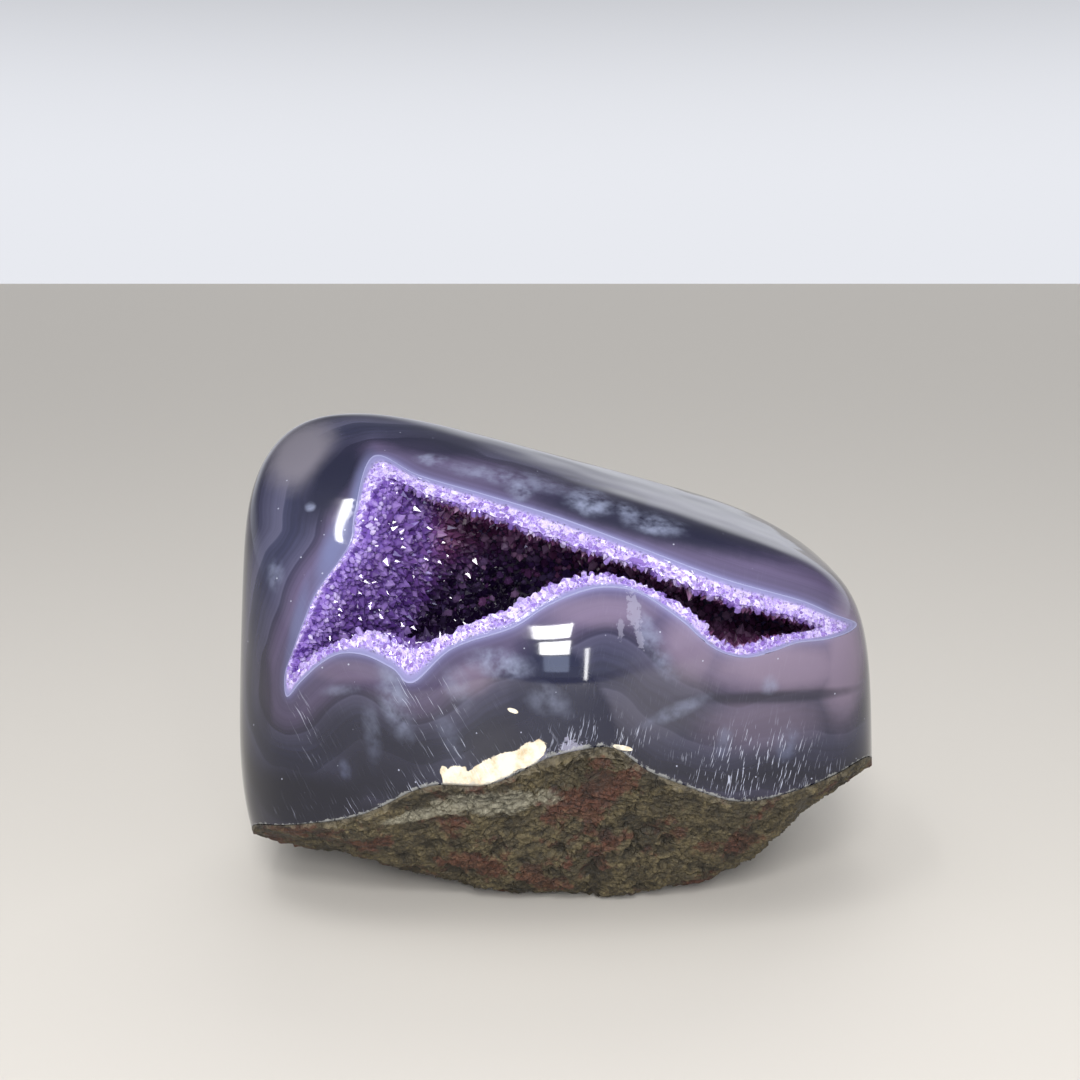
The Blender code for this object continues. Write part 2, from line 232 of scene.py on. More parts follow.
# %% The widest section of the hollow
CHAMBER_Y = -4.0
CHAMBER_FLOOR = 62.0
CHAMBER_FLOOR_RISE = 3.0
CHAMBER_HALF_LENGTH = 75.0
LEFT_WALL_SLANT = 24.0
CEILING_DROP = 1.5
CEILING_TOP = 116.0
CHAMBER_LEAN = 0.3
HOLLOW_DEEPEST = np.array([-6.0, 26.0, 83.0])
CRUST_THICKNESS = 8.0
CRUST_SPINE = np.array([[-20.0, 96.0], [60.0, 77.0]])


def smoothed(ring, reach):
    """Each point of a closed ring averaged with its neighbours."""
    return sum(np.roll(ring, shift, axis=0) for shift in range(-reach, reach + 1)) / (2 * reach + 1)


def chamber_outline(rim):
    """The hollow's widest section: the rim with its left wall slanting in and its floor dropped behind the lip."""
    places = np.arange(len(rim)) * len(MOUTH) / len(rim)
    lower = (places > RIGHT_CORNER) & (places < LEFT_CORNER)
    left = np.clip((-18 - rim[:, 0]) / 50, 0, 1)
    x = rim[:, 0] + LEFT_WALL_SLANT * left * (2 - left) * np.where(lower, 0.7, 1)
    floor = CHAMBER_FLOOR + CHAMBER_FLOOR_RISE * (rim[:, 0] / CHAMBER_HALF_LENGTH) ** 2
    ceiling = np.minimum(rim[:, 2] - CEILING_DROP, CEILING_TOP)
    z = np.where(lower, np.minimum(rim[:, 2], floor), ceiling)
    y = CHAMBER_Y + CHAMBER_LEAN * (z - HOLLOW_DEEPEST[2])
    return smoothed(np.column_stack([x, y, z]), len(rim) // 30)


def within_spine(outline, thickness):
    """The outline moved in towards the middle line of the hollow."""
    start, end = CRUST_SPINE
    run = end - start
    flat = outline[:, [0, 2]]
    share = np.clip((flat - start) @ run / (run @ run), 0, 1)
    nearest = start + share[:, None] * run
    away = flat - nearest
    far = np.linalg.norm(away, axis=1)
    moved = nearest + away * (np.maximum(far - thickness, 1.5) / far)[:, None]
    return np.column_stack([moved[:, 0], outline[:, 1], moved[:, 1]])


def hollow_ring(rim, chamber, deepest, share):
    """A ring of the hollow: 0 is the rim, 1 the widest section and 2 the deepest point."""
    if share <= 1:
        ring = rim + (chamber - rim) * share**0.7
        ring[:, 1] = rim[:, 1] + (chamber[:, 1] - rim[:, 1]) * share
        return ring
    ring = deepest + (chamber - deepest) * math.sqrt(max(0, 1 - (share - 1) ** 2))
    ring[:, 1] = chamber[:, 1] + (deepest[1] - chamber[:, 1]) * (share - 1)
    return ring


chamber = chamber_outline(agate_edge)
crystal_chamber = within_spine(chamber, CRUST_THICKNESS)
crystal_deepest = HOLLOW_DEEPEST - (0, CRUST_THICKNESS, 0)


# %% [markdown]
# ## From numbers to meshes
# Two primitives are enough. An icosphere has even faces all over, so pushing each of its points out to the reach
# of its direction gives a stone. A UV sphere is a stack of rings between two poles, so laying its rings along the
# hollow turns it into a plug of exactly that shape.

# %% Mesh helpers
def points_of(mesh):
    flat = np.empty(len(mesh.vertices) * 3)
    mesh.vertices.foreach_get("co", flat)
    return flat.reshape(-1, 3)


def place_points(mesh, millimetres):
    mesh.vertices.foreach_set("co", (millimetres * MM).ravel())
    mesh.update()


def added(name):
    """The primitive that was just added, with its name."""
    piece = bpy.context.object
    piece.name = name
    piece.data.name = name
    return piece


def make_active(piece):
    bpy.ops.object.select_all(action="DESELECT")
    piece.select_set(True)
    bpy.context.view_layer.objects.active = piece


def face_out(piece):
    make_active(piece)
    bpy.ops.object.mode_set(mode="EDIT")
    bpy.ops.mesh.select_all(action="SELECT")
    bpy.ops.mesh.normals_make_consistent(inside=False)
    bpy.ops.object.mode_set(mode="OBJECT")


def stone_from_sphere(name, detail, reach_of):
    """An icosphere pushed out to a stone's outside."""
    bpy.ops.object.select_all(action="DESELECT")
    bpy.ops.mesh.primitive_ico_sphere_add(subdivisions=detail, radius=1)
    stone = added(name)
    directions = points_of(stone.data)
    directions /= np.linalg.norm(directions, axis=1)[:, None]
    place_points(stone.data, MIDDLE + directions * reach_of(directions)[:, None])
    return stone


def plug_from_sphere(name, first_tip, rings, last_tip):
    """A UV sphere with its rings laid on the given ones and its poles on the two tips."""
    around = len(rings[0])
    bpy.ops.object.select_all(action="DESELECT")
    bpy.ops.mesh.primitive_uv_sphere_add(segments=around, ring_count=len(rings) + 1, radius=1)
    plug = added(name)
    unit = points_of(plug.data)
    level = np.rint(np.arccos(np.clip(unit[:, 2], -1, 1)) / math.pi * (len(rings) + 1)).astype(int)
    turn = np.rint(np.arctan2(unit[:, 1], unit[:, 0]) / (2 * math.pi) * around).astype(int) % around
    stack = np.array(rings)
    placed = stack[np.clip(level - 1, 0, len(rings) - 1), turn]
    placed[level == 0] = first_tip
    placed[level == len(rings) + 1] = last_tip
    place_points(plug.data, placed)
    face_out(plug)
    return plug, level


def cut_with(piece, cutter, operation):
    """A Boolean that is applied at once, and its cutter deleted."""
    make_active(piece)
    modifier = piece.modifiers.new(operation.lower(), "BOOLEAN")
    modifier.object = cutter
    modifier.operation = operation
    modifier.solver = "MANIFOLD"
    bpy.ops.object.modifier_apply(modifier=modifier.name)
    bpy.data.objects.remove(cutter)


# %% [markdown]
# ## The agate
# The agate is the polished block, less the rind under it and less the hollow. All three are closed forms from the
# rules above, so two Booleans make it.

# %% Cut the agate
OUTWARD = np.array([0.0, -0.8, 0.6])
GAP = 0.3
VISUAL_SHRINK = 0.25


def rind_thickness(directions):
    """Thin where the grinding cut through it, thicker under the stone."""
    elevation = np.degrees(np.arcsin(np.clip(directions[:, 2], -1, 1)))
    share = np.clip((-25 - elevation) / 35, 0, 1)
    share = share * share * (3 - 2 * share)
    return 1.3 + 2.9 * share


def weathered_reach(directions):
    """The natural lump under its small pits."""
    reach = rounded_reach(directions, NATURAL_FLATS, NATURAL_SHARPNESS) + swell(directions, NATURAL_SWELLS)
    return reach + 2.4 * noise_at(directions * reach[:, None], 24.0)


agate = stone_from_sphere("agate", 7, lambda d: polished_reach(d) - VISUAL_SHRINK)
under = stone_from_sphere("under", 6, lambda d: weathered_reach(d) - rind_thickness(d) - GAP)
cut_with(agate, under, "INTERSECT")
INWARD = 1 + np.sin(np.linspace(0.06, 1.53, 20))
wall_shares = np.concatenate([np.linspace(0, 1, 20), INWARD])
wall_rings = [hollow_ring(agate_edge, chamber, HOLLOW_DEEPEST, share) for share in wall_shares]
outside = agate_edge + OUTWARD * 14
plug, _ = plug_from_sphere("plug", outside.mean(axis=0) + OUTWARD * 14, [outside, *wall_rings], HOLLOW_DEEPEST)
cut_with(agate, plug, "DIFFERENCE")
print("agate faces", len(agate.data.polygons))

# %% [markdown]
# ## The bed of the crystals
# The crystals all grew from one bed that lines the hollow, and the saw cut through its edge. So the bed is one
# closed body. The plug's trick makes it again: rings run forward along the back of the bed, over its cut edge and
# down the side where the crystals stand. The cut edge is jagged, because the saw met whole crystals there.

# %% Build the bed
rng = np.random.default_rng(11)


def sawn_edge(outline, towards, depth, spacing):
    """The outline pushed to and fro by tips of uneven width and height."""
    steps = np.linalg.norm(np.roll(outline, -1, axis=0) - outline, axis=1)
    travel = np.concatenate([[0], np.cumsum(steps)[:-1]])
    length = steps.sum()
    tips = np.cumsum(rng.uniform(0.6, 1.4, int(length / spacing)))
    tips *= length / tips[-1]
    turning = np.sort(np.concatenate([tips, tips - rng.uniform(0.35, 0.65) * spacing]))
    heights = np.where(np.arange(len(turning)) % 2 == 0, 0.0, 1.0) * rng.uniform(0.35, 1.0, len(turning))
    push = np.interp(travel, turning, heights, period=length) * depth
    way = towards - outline
    way /= np.linalg.norm(way, axis=1)[:, None]
    return outline + way * push[:, None]


def cut_face_ring(share):
    """A ring across the bed's cut edge: 0 at the agate and 1 at the crystals."""
    mixed = agate_edge[:, [0, 2]] * (1 - share) + jagged_edge[:, [0, 2]] * share
    return on_polished_front(mixed)


jagged_edge = sawn_edge(crystal_edge, agate_edge, 1.7, 2.6)
back_rim = within_spine(agate_edge, GAP)
back_chamber = within_spine(chamber, GAP)
back_deepest = HOLLOW_DEEPEST - (0, GAP, 0)
back_rings = [hollow_ring(back_rim, back_chamber, back_deepest, s) for s in wall_shares[:0:-1]]
edge_rings = [cut_face_ring(share) for share in np.linspace(0, 1, 7)]
front_shares = np.concatenate([np.linspace(0.03, 1, 26), INWARD])
front_rings = [hollow_ring(jagged_edge, crystal_chamber, crystal_deepest, s) for s in front_shares]
bed_rings = back_rings + edge_rings + front_rings
bed, bed_level = plug_from_sphere("crystal_bed", back_deepest, bed_rings, crystal_deepest)
across = (bed_level - 1 - len(back_rings)) / (len(edge_rings) - 1)
bed_points = points_of(bed.data) / MM
sunk = np.clip((across - 0.2) * 4, 0, 1) * (0.25 + 0.55 * np.abs(noise_at(bed_points, 1.3)))
sunk[across > 1.2] = 0
place_points(bed.data, bed_points - OUTWARD * sunk[:, None])
across_values = np.clip(across, -1, 9)
print("bed faces", len(bed.data.polygons))

# %% [markdown]
# ## One crystal
# Quartz grows as a six-sided column with a six-sided point, and the point is never even: three of its faces win
# over the other three, and the tip sits off the middle. A few such crystals are modelled one by one. Every one in
# the hollow is then a copy of one of them, with its own size, lean and turn.


# %% Model the crystals
def model_crystal(name, waist, tip, sharp):
    """One quartz point, a unit wide: a column with a slightly narrower waist and a point off its middle."""
    bpy.ops.object.select_all(action="DESELECT")
    bpy.ops.mesh.primitive_cylinder_add(vertices=6, radius=0.5, depth=1, location=(0, 0, -0.5))
    crystal = added(name)
    bpy.ops.object.mode_set(mode="EDIT")
    bpy.ops.mesh.select_all(action="DESELECT")
    bpy.ops.object.mode_set(mode="OBJECT")
    for face in crystal.data.polygons:
        face.select = face.normal.z > 0.9
    bpy.ops.object.mode_set(mode="EDIT")
    bpy.ops.transform.resize(value=(waist, waist, 1))
    bpy.ops.mesh.extrude_region_move(TRANSFORM_OT_translate={"value": (tip[0], tip[1], sharp)})
    bpy.ops.mesh.merge(type="CENTER")
    bpy.ops.object.mode_set(mode="OBJECT")
    bpy.ops.object.transform_apply(location=True, rotation=True, scale=True)
    return crystal


kinds = [
    model_crystal("broad_point", 0.96, (0.05, 0.02), 0.42),
    model_crystal("tall_point", 0.9, (-0.06, 0.05), 0.62),
    model_crystal("leaning_point", 0.94, (0.14, -0.04), 0.5),
    model_crystal("blunt_point", 0.98, (-0.02, -0.1), 0.34),
    model_crystal("sharp_point", 0.86, (0.03, 0.08), 0.74),
]
print("faces in one crystal", [len(kind.data.polygons) for kind in kinds])

# %% [markdown]
# ## Sow the crystals over the bed
# Instancing on points could place them, but where each crystal stands and how far it leans depends on the hollow,
# so the places are worked out first. Points are thrown at the bed's wall and each one that lands too near another
# is dropped. A crystal whose tip would stick out of the polished front was ground away, so it's dropped too.


# %% Places on the wall
def wall_grid(rings):
    """The wall as a grid of points and of normals that face into the hollow."""
    grid = np.array(rings)
    along = np.roll(grid, -1, axis=1) - np.roll(grid, 1, axis=1)
    down = np.gradient(grid, axis=0)
    normal = np.cross(along, down)
    normal /= np.maximum(np.linalg.norm(normal, axis=2), 1e-9)[:, :, None]
    middle = np.array([5.0, grid[:, :, 1].mean() - 12, 88.0])
    if ((middle - grid) * normal).sum() < 0:
        normal = -normal
    return grid, normal


def thrown_points(grid, normal, ring_shares, tries):
    """Points spread evenly by area over the grid, with their normals and how deep they lie."""
    right = np.roll(grid, -1, axis=1)
    area = np.linalg.norm(np.cross(right[:-1] - grid[:-1], grid[1:] - grid[:-1]), axis=2)
    cell = rng.choice(area.size, size=tries, p=(area / area.sum()).ravel())
    row, column = np.divmod(cell, grid.shape[1])
    u, v = rng.random((2, tries, 1))
    beside = (column + 1) % grid.shape[1]

    def blended(values):
        near = values[row, column] * (1 - u) + values[row, beside] * u
        far = values[row + 1, column] * (1 - u) + values[row + 1, beside] * u
        return near * (1 - v) + far * v

    shares = ring_shares[row] * (1 - v[:, 0]) + ring_shares[row + 1] * v[:, 0]
    return blended(grid), blended(normal), shares


def tree_of(points):
    tree = KDTree(len(points))
    for i, point in enumerate(points):
        tree.insert(point, i)
    tree.balance()
    return tree


def kept_apart(points, widths, closeness):
    """Which points stay when each one, the widest first, pushes away those that land within its own width."""
    near = tree_of(points)
    free = np.ones(len(points), bool)
    kept = []
    for i in range(len(points)):
        if not free[i]:
            continue
        kept.append(i)
        for _, j, distance in near.find_range(points[i], closeness * widths[i]):
            if distance < closeness * (widths[i] + widths[j]) / 2:
                free[j] = False
    return np.array(kept)


grid, wall_normals = wall_grid(front_rings)
places, leans, shares = thrown_points(grid, wall_normals, front_shares, 46000)
widths = rng.choice([1.2, 1.5, 1.9, 2.4, 3.2], size=len(places), p=[0.3, 0.32, 0.24, 0.11, 0.03])
widths = np.where(shares < 0.14, np.minimum(widths, 1.7), widths)
order = np.argsort(-widths, kind="stable")
places, leans, shares, widths = places[order], leans[order], shares[order], widths[order]
kept = kept_apart(places, widths, 0.66)
places, leans, shares, widths = places[kept], leans[kept], shares[kept], widths[kept]
leans += rng.normal(0, 0.24, leans.shape)
leans /= np.linalg.norm(leans, axis=1)[:, None]
print("crystals that found room", len(places))


# %% Copy the crystals to their places
def turned_to_flash(kind, place, lean):
    """The axes that make one face of the crystal's point mirror the window to the eye, leaning as little as it can."""
    facet = max((face for face in kind.polygons if face.normal.z > 0.2), key=lambda face: face.area).normal
    to_eye, to_lamp = (np.array(target) - place for target in ((-5, -437, 180), (-35, -800, 680)))
    halfway = to_eye / np.linalg.norm(to_eye) + to_lamp / np.linalg.norm(to_lamp)
    halfway /= np.linalg.norm(halfway)
    square = lean - (lean @ halfway) * halfway
    lean = facet.z * halfway + math.sqrt(1 - facet.z**2) * square / np.linalg.norm(square)
    forward = halfway - (halfway @ lean) * lean
    forward /= np.linalg.norm(forward)
    sideways = np.cross(lean, forward)
    spin = math.atan2(facet.y, facet.x)
    return math.cos(spin) * forward - math.sin(spin) * sideways, math.sin(spin) * forward + math.cos(spin) * sideways, lean


def crystal_meshes(places, leans, widths, flashing, kinds):
    """All copies as one list of corners and one list of faces, and which crystal each corner is of."""
    corners, faces, owner = [], [], []
    start = 0
    for i, (place, lean, width) in enumerate(zip(places, leans, widths)):
        kind = kinds[rng.integers(len(kinds))].data
        shape = shapes[kind.name]
        turn = rng.uniform(0, 2 * math.pi)
        side = np.cross(lean, (math.cos(turn), math.sin(turn), 0.3))
        side /= np.linalg.norm(side)
        across = np.cross(lean, side)
        stretch = rng.uniform(0.85, 1.25)
        if flashing[i]:
            side, across, lean = turned_to_flash(kind, place, lean)
            stretch = 1
        lifted = shape + (0, 0, 0.2)
        made = place + width * (lifted[:, :1] * side + lifted[:, 1:2] * across + lifted[:, 2:] * lean * stretch)
        corners.append(made)
        faces += [tuple(start + v for v in face.vertices) for face in kind.polygons]
        owner += [i] * len(shape)
        start += len(shape)
    return np.concatenate(corners), faces, np.array(owner)


shapes = {kind.data.name: points_of(kind.data) for kind in kinds}
tips = places + leans * (widths * 0.8)[:, None]
offset = tips - MIDDLE
far = np.linalg.norm(offset, axis=1)
inside = far < polished_reach(offset / far[:, None]) - 0.4
rim_tree = tree_of(agate_edge)
inside &= np.array([rim_tree.find(place)[2] for place in places]) > widths * 0.6
places, leans, shares, widths = places[inside], leans[inside], shares[inside], widths[inside]

cut_grid = np.array(edge_rings[3:])
cut_places, _, _ = thrown_points(cut_grid, np.broadcast_to(OUTWARD, cut_grid.shape), np.linspace(0.42, 1, 5), 9000)
cut_widths = rng.uniform(1.2, 2.2, len(cut_places))
clear = np.array([rim_tree.find(place)[2] for place in cut_places]) > cut_widths * 0.75
cut_places, cut_widths = cut_places[clear], cut_widths[clear]
kept = kept_apart(cut_places, cut_widths, 0.8)
cut_places, cut_widths = cut_places[kept], cut_widths[kept]
cut_leans = OUTWARD + rng.normal(0, 0.32, cut_places.shape)
cut_leans /= np.linalg.norm(cut_leans, axis=1)[:, None]
cut_places = cut_places - cut_leans * (cut_widths * 0.72)[:, None] - OUTWARD * 0.15
print("crystals met by the saw", len(cut_places))

deepness = np.concatenate([np.clip((shares - 0.03) / 0.12, 0, 1), np.zeros(len(cut_places))])
ceiling = np.clip((-leans[:, 2] - 0.1) / 0.4, 0, 1) * np.clip((places[:, 0] + 45) / 30, 0, 1)
# Painted shade: crystals are darkened deeper in the hollow, less on the ceiling and towards the right, more in a patch
# left of the middle, and less at the upper back.
buried = np.clip((shares - 1.0) / 0.5, 0, 1) * (1 - 0.75 * ceiling) * (1 - 0.6 * np.clip((places[:, 0] + 12) / 22, 0, 1))
shadow = np.clip((places[:, 0] + 38) / 8, 0, 1) * np.clip((shares - 0.5) / 0.35, 0, 1)
shadow *= np.clip((-4 - places[:, 0]) / 14, 0, 1)
buried = np.maximum(buried, 0.9 * shadow * (1 - 0.8 * ceiling))
upper_back = np.clip((places[:, 2] - 88) / 12, 0, 1) * np.clip((places[:, 0] + 38) / 6, 0, 1)
buried *= 1 - 0.5 * upper_back
painted_shade_per_crystal = np.concatenate([buried, np.zeros(len(cut_places))])
pocket = np.clip((places[:, 0] - 15) / 25, 0, 1)
warmth = np.concatenate([np.maximum(np.maximum(ceiling, pocket), upper_back) * 0.8, np.zeros(len(cut_places))])
places, leans = np.concatenate([places, cut_places]), np.concatenate([leans, cut_leans])
widths = np.concatenate([widths, cut_widths])
outer = np.concatenate([shares < 1, np.ones(len(cut_places), bool)])
flashing = (widths > 1.7) & (rng.random(len(widths)) < np.where((places[:, 0] < -25) & outer, 0.07, 0.02))
print("crystals that flash", flashing.sum())
corners, faces, owner = crystal_meshes(places, leans, widths, flashing, kinds)
bpy.ops.object.select_all(action="DESELECT")
for kind in kinds[1:]:
    bpy.data.objects.remove(kind)
crystals = kinds[0]
crystals.name = "crystals"
crystals.data.clear_geometry()
crystals.data.name = "crystals"
crystals.data.from_pydata(corners * MM, [], faces)
face_out(crystals)
print("crystals", len(places), "faces", len(crystals.data.polygons))

# %% [markdown]
# ## The rough rind
# The underside is the lava's own skin: lumps and ledges, pits left by gas, and cracks. It takes the same flats as
# the solid's rind, and layers of noise of falling size give the rest, each with its own character: broad steps,
# scooped pits and a fine grain. The grinding ends in a wavy line where the two forms cross.


# %% Roughen the rind
def rough_reach(directions):
    """The lava skin: the natural lump with ledges, pits and grain where it is still there."""
    reach = weathered_reach(directions)
    elevation = np.degrees(np.arcsin(np.clip(directions[:, 2], -1, 1)))
    low = elevation < 12
    points = directions[low] * reach[low, None]
    ledges = noise_at(points * (1, 1, 2.4) + 40, 15.0, 3)
    steps = np.abs(((ledges * 3.2) % 1) - 0.5) * 2
    pits = np.clip(noise_at(points + 90, 6.5) - 0.12, 0, 1)
    grain = noise_at(points, 3.0, 4)
    thickness = rind_thickness(directions[low])
    relief = 1.2 * (steps - 0.6) - 2.8 * pits + 0.42 * grain + 0.7 * ledges
    reach[low] += np.maximum(relief, -0.7 * thickness)
    return reach


rind = stone_from_sphere("rind", 8, rough_reach)
inner = stone_from_sphere("inner", 6, lambda d: weathered_reach(d) - rind_thickness(d))
cut_with(rind, inner, "DIFFERENCE")
ground = stone_from_sphere("ground", 7, lambda d: polished_reach(d) - VISUAL_SHRINK)
cut_with(rind, ground, "INTERSECT")
flat = points_of(rind.data)
flat[:, 2] = np.maximum(flat[:, 2], 0)
place_points(rind.data, flat / MM)
print("rind faces", len(rind.data.polygons))

# %% [markdown]
# ## Wiring materials
# A node material can be drawn by hand in the Shader Editor. Built in code, each node is one line: its kind, its
# settings and what feeds its sockets.


# %% Helpers for nodes
def node(tree, kind, inputs=None, **settings):
    """A new node. Each input is a value, or another node's output that is linked to it."""
    made = tree.nodes.new("ShaderNode" + kind)
    for name, value in settings.items():
        setattr(made, name, value)
    for name, value in (inputs or {}).items():
        socket = made.inputs[name]
        if isinstance(value, bpy.types.NodeSocket):
            tree.links.new(value, socket)
        elif hasattr(socket.default_value, "__len__") and not hasattr(value, "__len__"):
            socket.default_value = (value,) * len(socket.default_value)
        else:
            socket.default_value = value
    return made


def maths(tree, operation, a, b=0.0, c=0.0):
    return node(tree, "Math", {0: a, 1: b, 2: c}, operation=operation).outputs[0]


def smooth_step(tree, value, low, high):
    """0 at low and 1 at high, with a soft run between them. High may be the smaller one."""
    inputs = {"Value": value, "From Min": low, "From Max": high}
    return node(tree, "MapRange", inputs, interpolation_type="SMOOTHSTEP").outputs["Result"]


def tinted(tree, share, below, above, blend="MIX"):
    """One colour laid over another by a share."""
    return node(tree, "Mix", {0: share, 6: below, 7: above}, data_type="RGBA", blend_type=blend).outputs[2]


def srgb(red, green, blue):
    """A screen colour, 0 to 255, as the linear colour that the sockets take."""
    parts = [value / 255 for value in (red, green, blue)]
    return (*[part / 12.92 if part <= 0.04045 else ((part + 0.055) / 1.055) ** 2.4 for part in parts], 1)


def ramp(tree, value, stops, interpolation="LINEAR"):
    """A colour ramp from (place, colour) stops."""
    made = node(tree, "ValToRGB", {"Fac": value})
    made.color_ramp.interpolation = interpolation
    elements = made.color_ramp.elements
    while len(elements) < len(stops):
        elements.new(0.5)
    for element, (place, colour) in zip(elements, stops):
        element.position = place
        element.color = colour
    return made.outputs["Color"]


def noise_of(tree, place, size, detail=2.0, roughness=0.5, output="Fac"):
    """Noise whose lumps are about `size` millimetres."""
    inputs = {"Vector": place, "Scale": 1 / size, "Detail": detail, "Roughness": roughness}
    return node(tree, "TexNoise", inputs).outputs[output]


def cells_of(tree, place, size, feature="F1", output="Distance"):
    """A mosaic whose cells are about `size` millimetres."""
    return node(tree, "TexVoronoi", {"Vector": place, "Scale": 1 / size}, feature=feature).outputs[output]


def attribute(tree, name):
    return node(tree, "Attribute", attribute_name=name).outputs["Fac"]


def bumped(tree, height, distance, strength=1.0, normal=None):
    """A bump whose full height is `distance` millimetres."""
    inputs = {"Height": height, "Distance": distance * MM, "Strength": strength}
    if normal:
        inputs["Normal"] = normal
    return node(tree, "Bump", inputs).outputs["Normal"]


def new_material(name):
    """A material, its tree, its Principled shader, and the place on the piece in millimetres."""
    material = bpy.data.materials.new(name)
    material.use_nodes = True
    tree = material.node_tree
    coordinates = node(tree, "TexCoord").outputs["Object"]
    place = node(tree, "VectorMath", {0: coordinates, 1: (1000, 1000, 1000)}, operation="MULTIPLY").outputs[0]
    return material, tree, tree.nodes["Principled BSDF"], place


def new_group(name, sockets, result):
    """A node group with the given inputs and one float output. Gives its tree and its input sockets."""
    tree = bpy.data.node_groups.new(name, "ShaderNodeTree")
    for label, kind in sockets:
        tree.interface.new_socket(label, in_out="INPUT", socket_type="NodeSocket" + kind)
    tree.interface.new_socket(result, in_out="OUTPUT", socket_type="NodeSocketFloat")
    return tree, tree.nodes.new("NodeGroupInput").outputs


def close_group(tree, value):
    tree.links.new(value, tree.nodes.new("NodeGroupOutput").inputs[0])


def store_float(mesh, name, values):
    stored = mesh.attributes.new(name, "FLOAT", "POINT")
    stored.data.foreach_set("value", np.asarray(values, np.float32))


def dress(piece, material):
    piece.data.materials.clear()
    piece.data.materials.append(material)


# %% [markdown]
# ## Marks in the stone
# Milky clouds, dark windows and mauve veils sit in the agate at places of their own, and so do a painted dark
# reflection and a painted pale sheen. Each is a soft oval with an unsteady edge, and its node group takes the
# place, the size and the turn. A second group draws hairline scratches: noise squeezed across and drawn out
# along, of which only the highest crests are kept.

# %% Two groups for marks
patch_tree, given = new_group(
    "stone_patch",
    [("Place", "Vector"), ("Centre", "Vector"), ("Half Size", "Vector"), ("Turn", "Float"), ("Edge", "Float"), ("Wobble", "Float")],
    "Mask",
)
offset = node(patch_tree, "VectorMath", {0: given["Place"], 1: given["Centre"]}, operation="SUBTRACT").outputs[0]
turned = node(patch_tree, "VectorRotate", {"Vector": offset, "Angle": given["Turn"]}, rotation_type="Y_AXIS").outputs[0]
scaled = node(patch_tree, "VectorMath", {0: turned, 1: given["Half Size"]}, operation="DIVIDE").outputs[0]
reached = node(patch_tree, "VectorMath", {0: scaled}, operation="LENGTH").outputs["Value"]
reached = maths(patch_tree, "ADD", reached, given["Wobble"])
inner = maths(patch_tree, "SUBTRACT", 1.0, given["Edge"])
outer = maths(patch_tree, "ADD", 1.0, given["Edge"])
close_group(patch_tree, smooth_step(patch_tree, reached, outer, inner))

scratch_tree, given = new_group(
    "hairlines",
    [("Place", "Vector"), ("Turn", "Float"), ("Length", "Float"), ("Width", "Float"), ("Rarity", "Float")],
    "Mask",
)
turned = node(scratch_tree, "VectorRotate", {"Vector": given["Place"], "Angle": given["Turn"]}, rotation_type="Y_AXIS").outputs[0]
stretch = node(scratch_tree, "CombineXYZ", {0: given["Width"], 1: 12.0, 2: given["Length"]}).outputs[0]
drawn = node(scratch_tree, "VectorMath", {0: turned, 1: stretch}, operation="DIVIDE").outputs[0]
crests = noise_of(scratch_tree, drawn, 1.0, 2.0, 0.6)
softer = maths(scratch_tree, "ADD", given["Rarity"], 0.07)
close_group(scratch_tree, smooth_step(scratch_tree, crests, given["Rarity"], softer))


def patches(tree, place, rows, edge, unsteady, grain=4.0):
    """All patches of one kind in one mask. A row is a centre, half width, half height, clockwise turn and strength."""
    whole = None
    wobble = maths(tree, "MULTIPLY", maths(tree, "SUBTRACT", noise_of(tree, place, grain, 3.0, 0.6), 0.5), unsteady)
    for centre, half_width, half_height, turn, strength in rows:
        inputs = {
            "Place": place,
            "Centre": centre,
            "Half Size": (half_width, 26.0, half_height),
            "Turn": -math.radians(turn),
            "Edge": edge,
            "Wobble": wobble,
        }
        made = tree.nodes.new("ShaderNodeGroup")
        made.node_tree = patch_tree
        for name, value in inputs.items():
            if isinstance(value, bpy.types.NodeSocket):
                tree.links.new(value, made.inputs[name])
            else:
                made.inputs[name].default_value = value
        mask = maths(tree, "MULTIPLY", made.outputs[0], strength)
        whole = mask if whole is None else maths(tree, "MAXIMUM", whole, mask)
    return whole


def hairlines(tree, place, turn, length, width, rarity):
    """Scratches that lean `turn` degrees clockwise from upright."""
    made = tree.nodes.new("ShaderNodeGroup")
    made.node_tree = scratch_tree
    tree.links.new(place, made.inputs["Place"])
    for name, value in (("Turn", -math.radians(turn)), ("Length", length), ("Width", width), ("Rarity", rarity)):
        made.inputs[name].default_value = value
    return made.outputs[0]


# %% [markdown]
# ## Polished agate
# Agate grew in coats on the wall of the bubble, so its bands follow the hollow. Painted lines would never bend
# with the form, so each point of the mesh stores how far it is from the hollow. A ramp over that distance then
# gives bands that run round the mouth and over the lobes by themselves, and noise makes them waver. A second
# distance, to the rough rind, tells where the grinding wheel chipped the edge.

# %% Measure the agate
wall = np.array(wall_rings[:34])
row, column = np.divmod(np.arange((len(wall) - 1) * AROUND), AROUND)
beside = (column + 1) % AROUND
quads = np.column_stack([row * AROUND + column, row * AROUND + beside, (row + 1) * AROUND + beside, (row + 1) * AROUND + column])
hollow_tree = BVHTree.FromPolygons(wall.reshape(-1, 3).tolist(), quads.tolist())
agate_points = points_of(agate.data) / MM
from_hollow = np.array([hollow_tree.find_nearest(Vector(p))[3] for p in agate_points])
store_float(agate.data, "from_hollow", from_hollow)
directions = agate_points - MIDDLE
far = np.linalg.norm(directions, axis=1)
directions /= far[:, None]
to_rind = weathered_reach(directions) - rind_thickness(directions) - GAP - far
store_float(agate.data, "to_rind", np.clip(to_rind, -5, 40))
print("agate lies up to", from_hollow.max().round(1), "mm from the hollow")

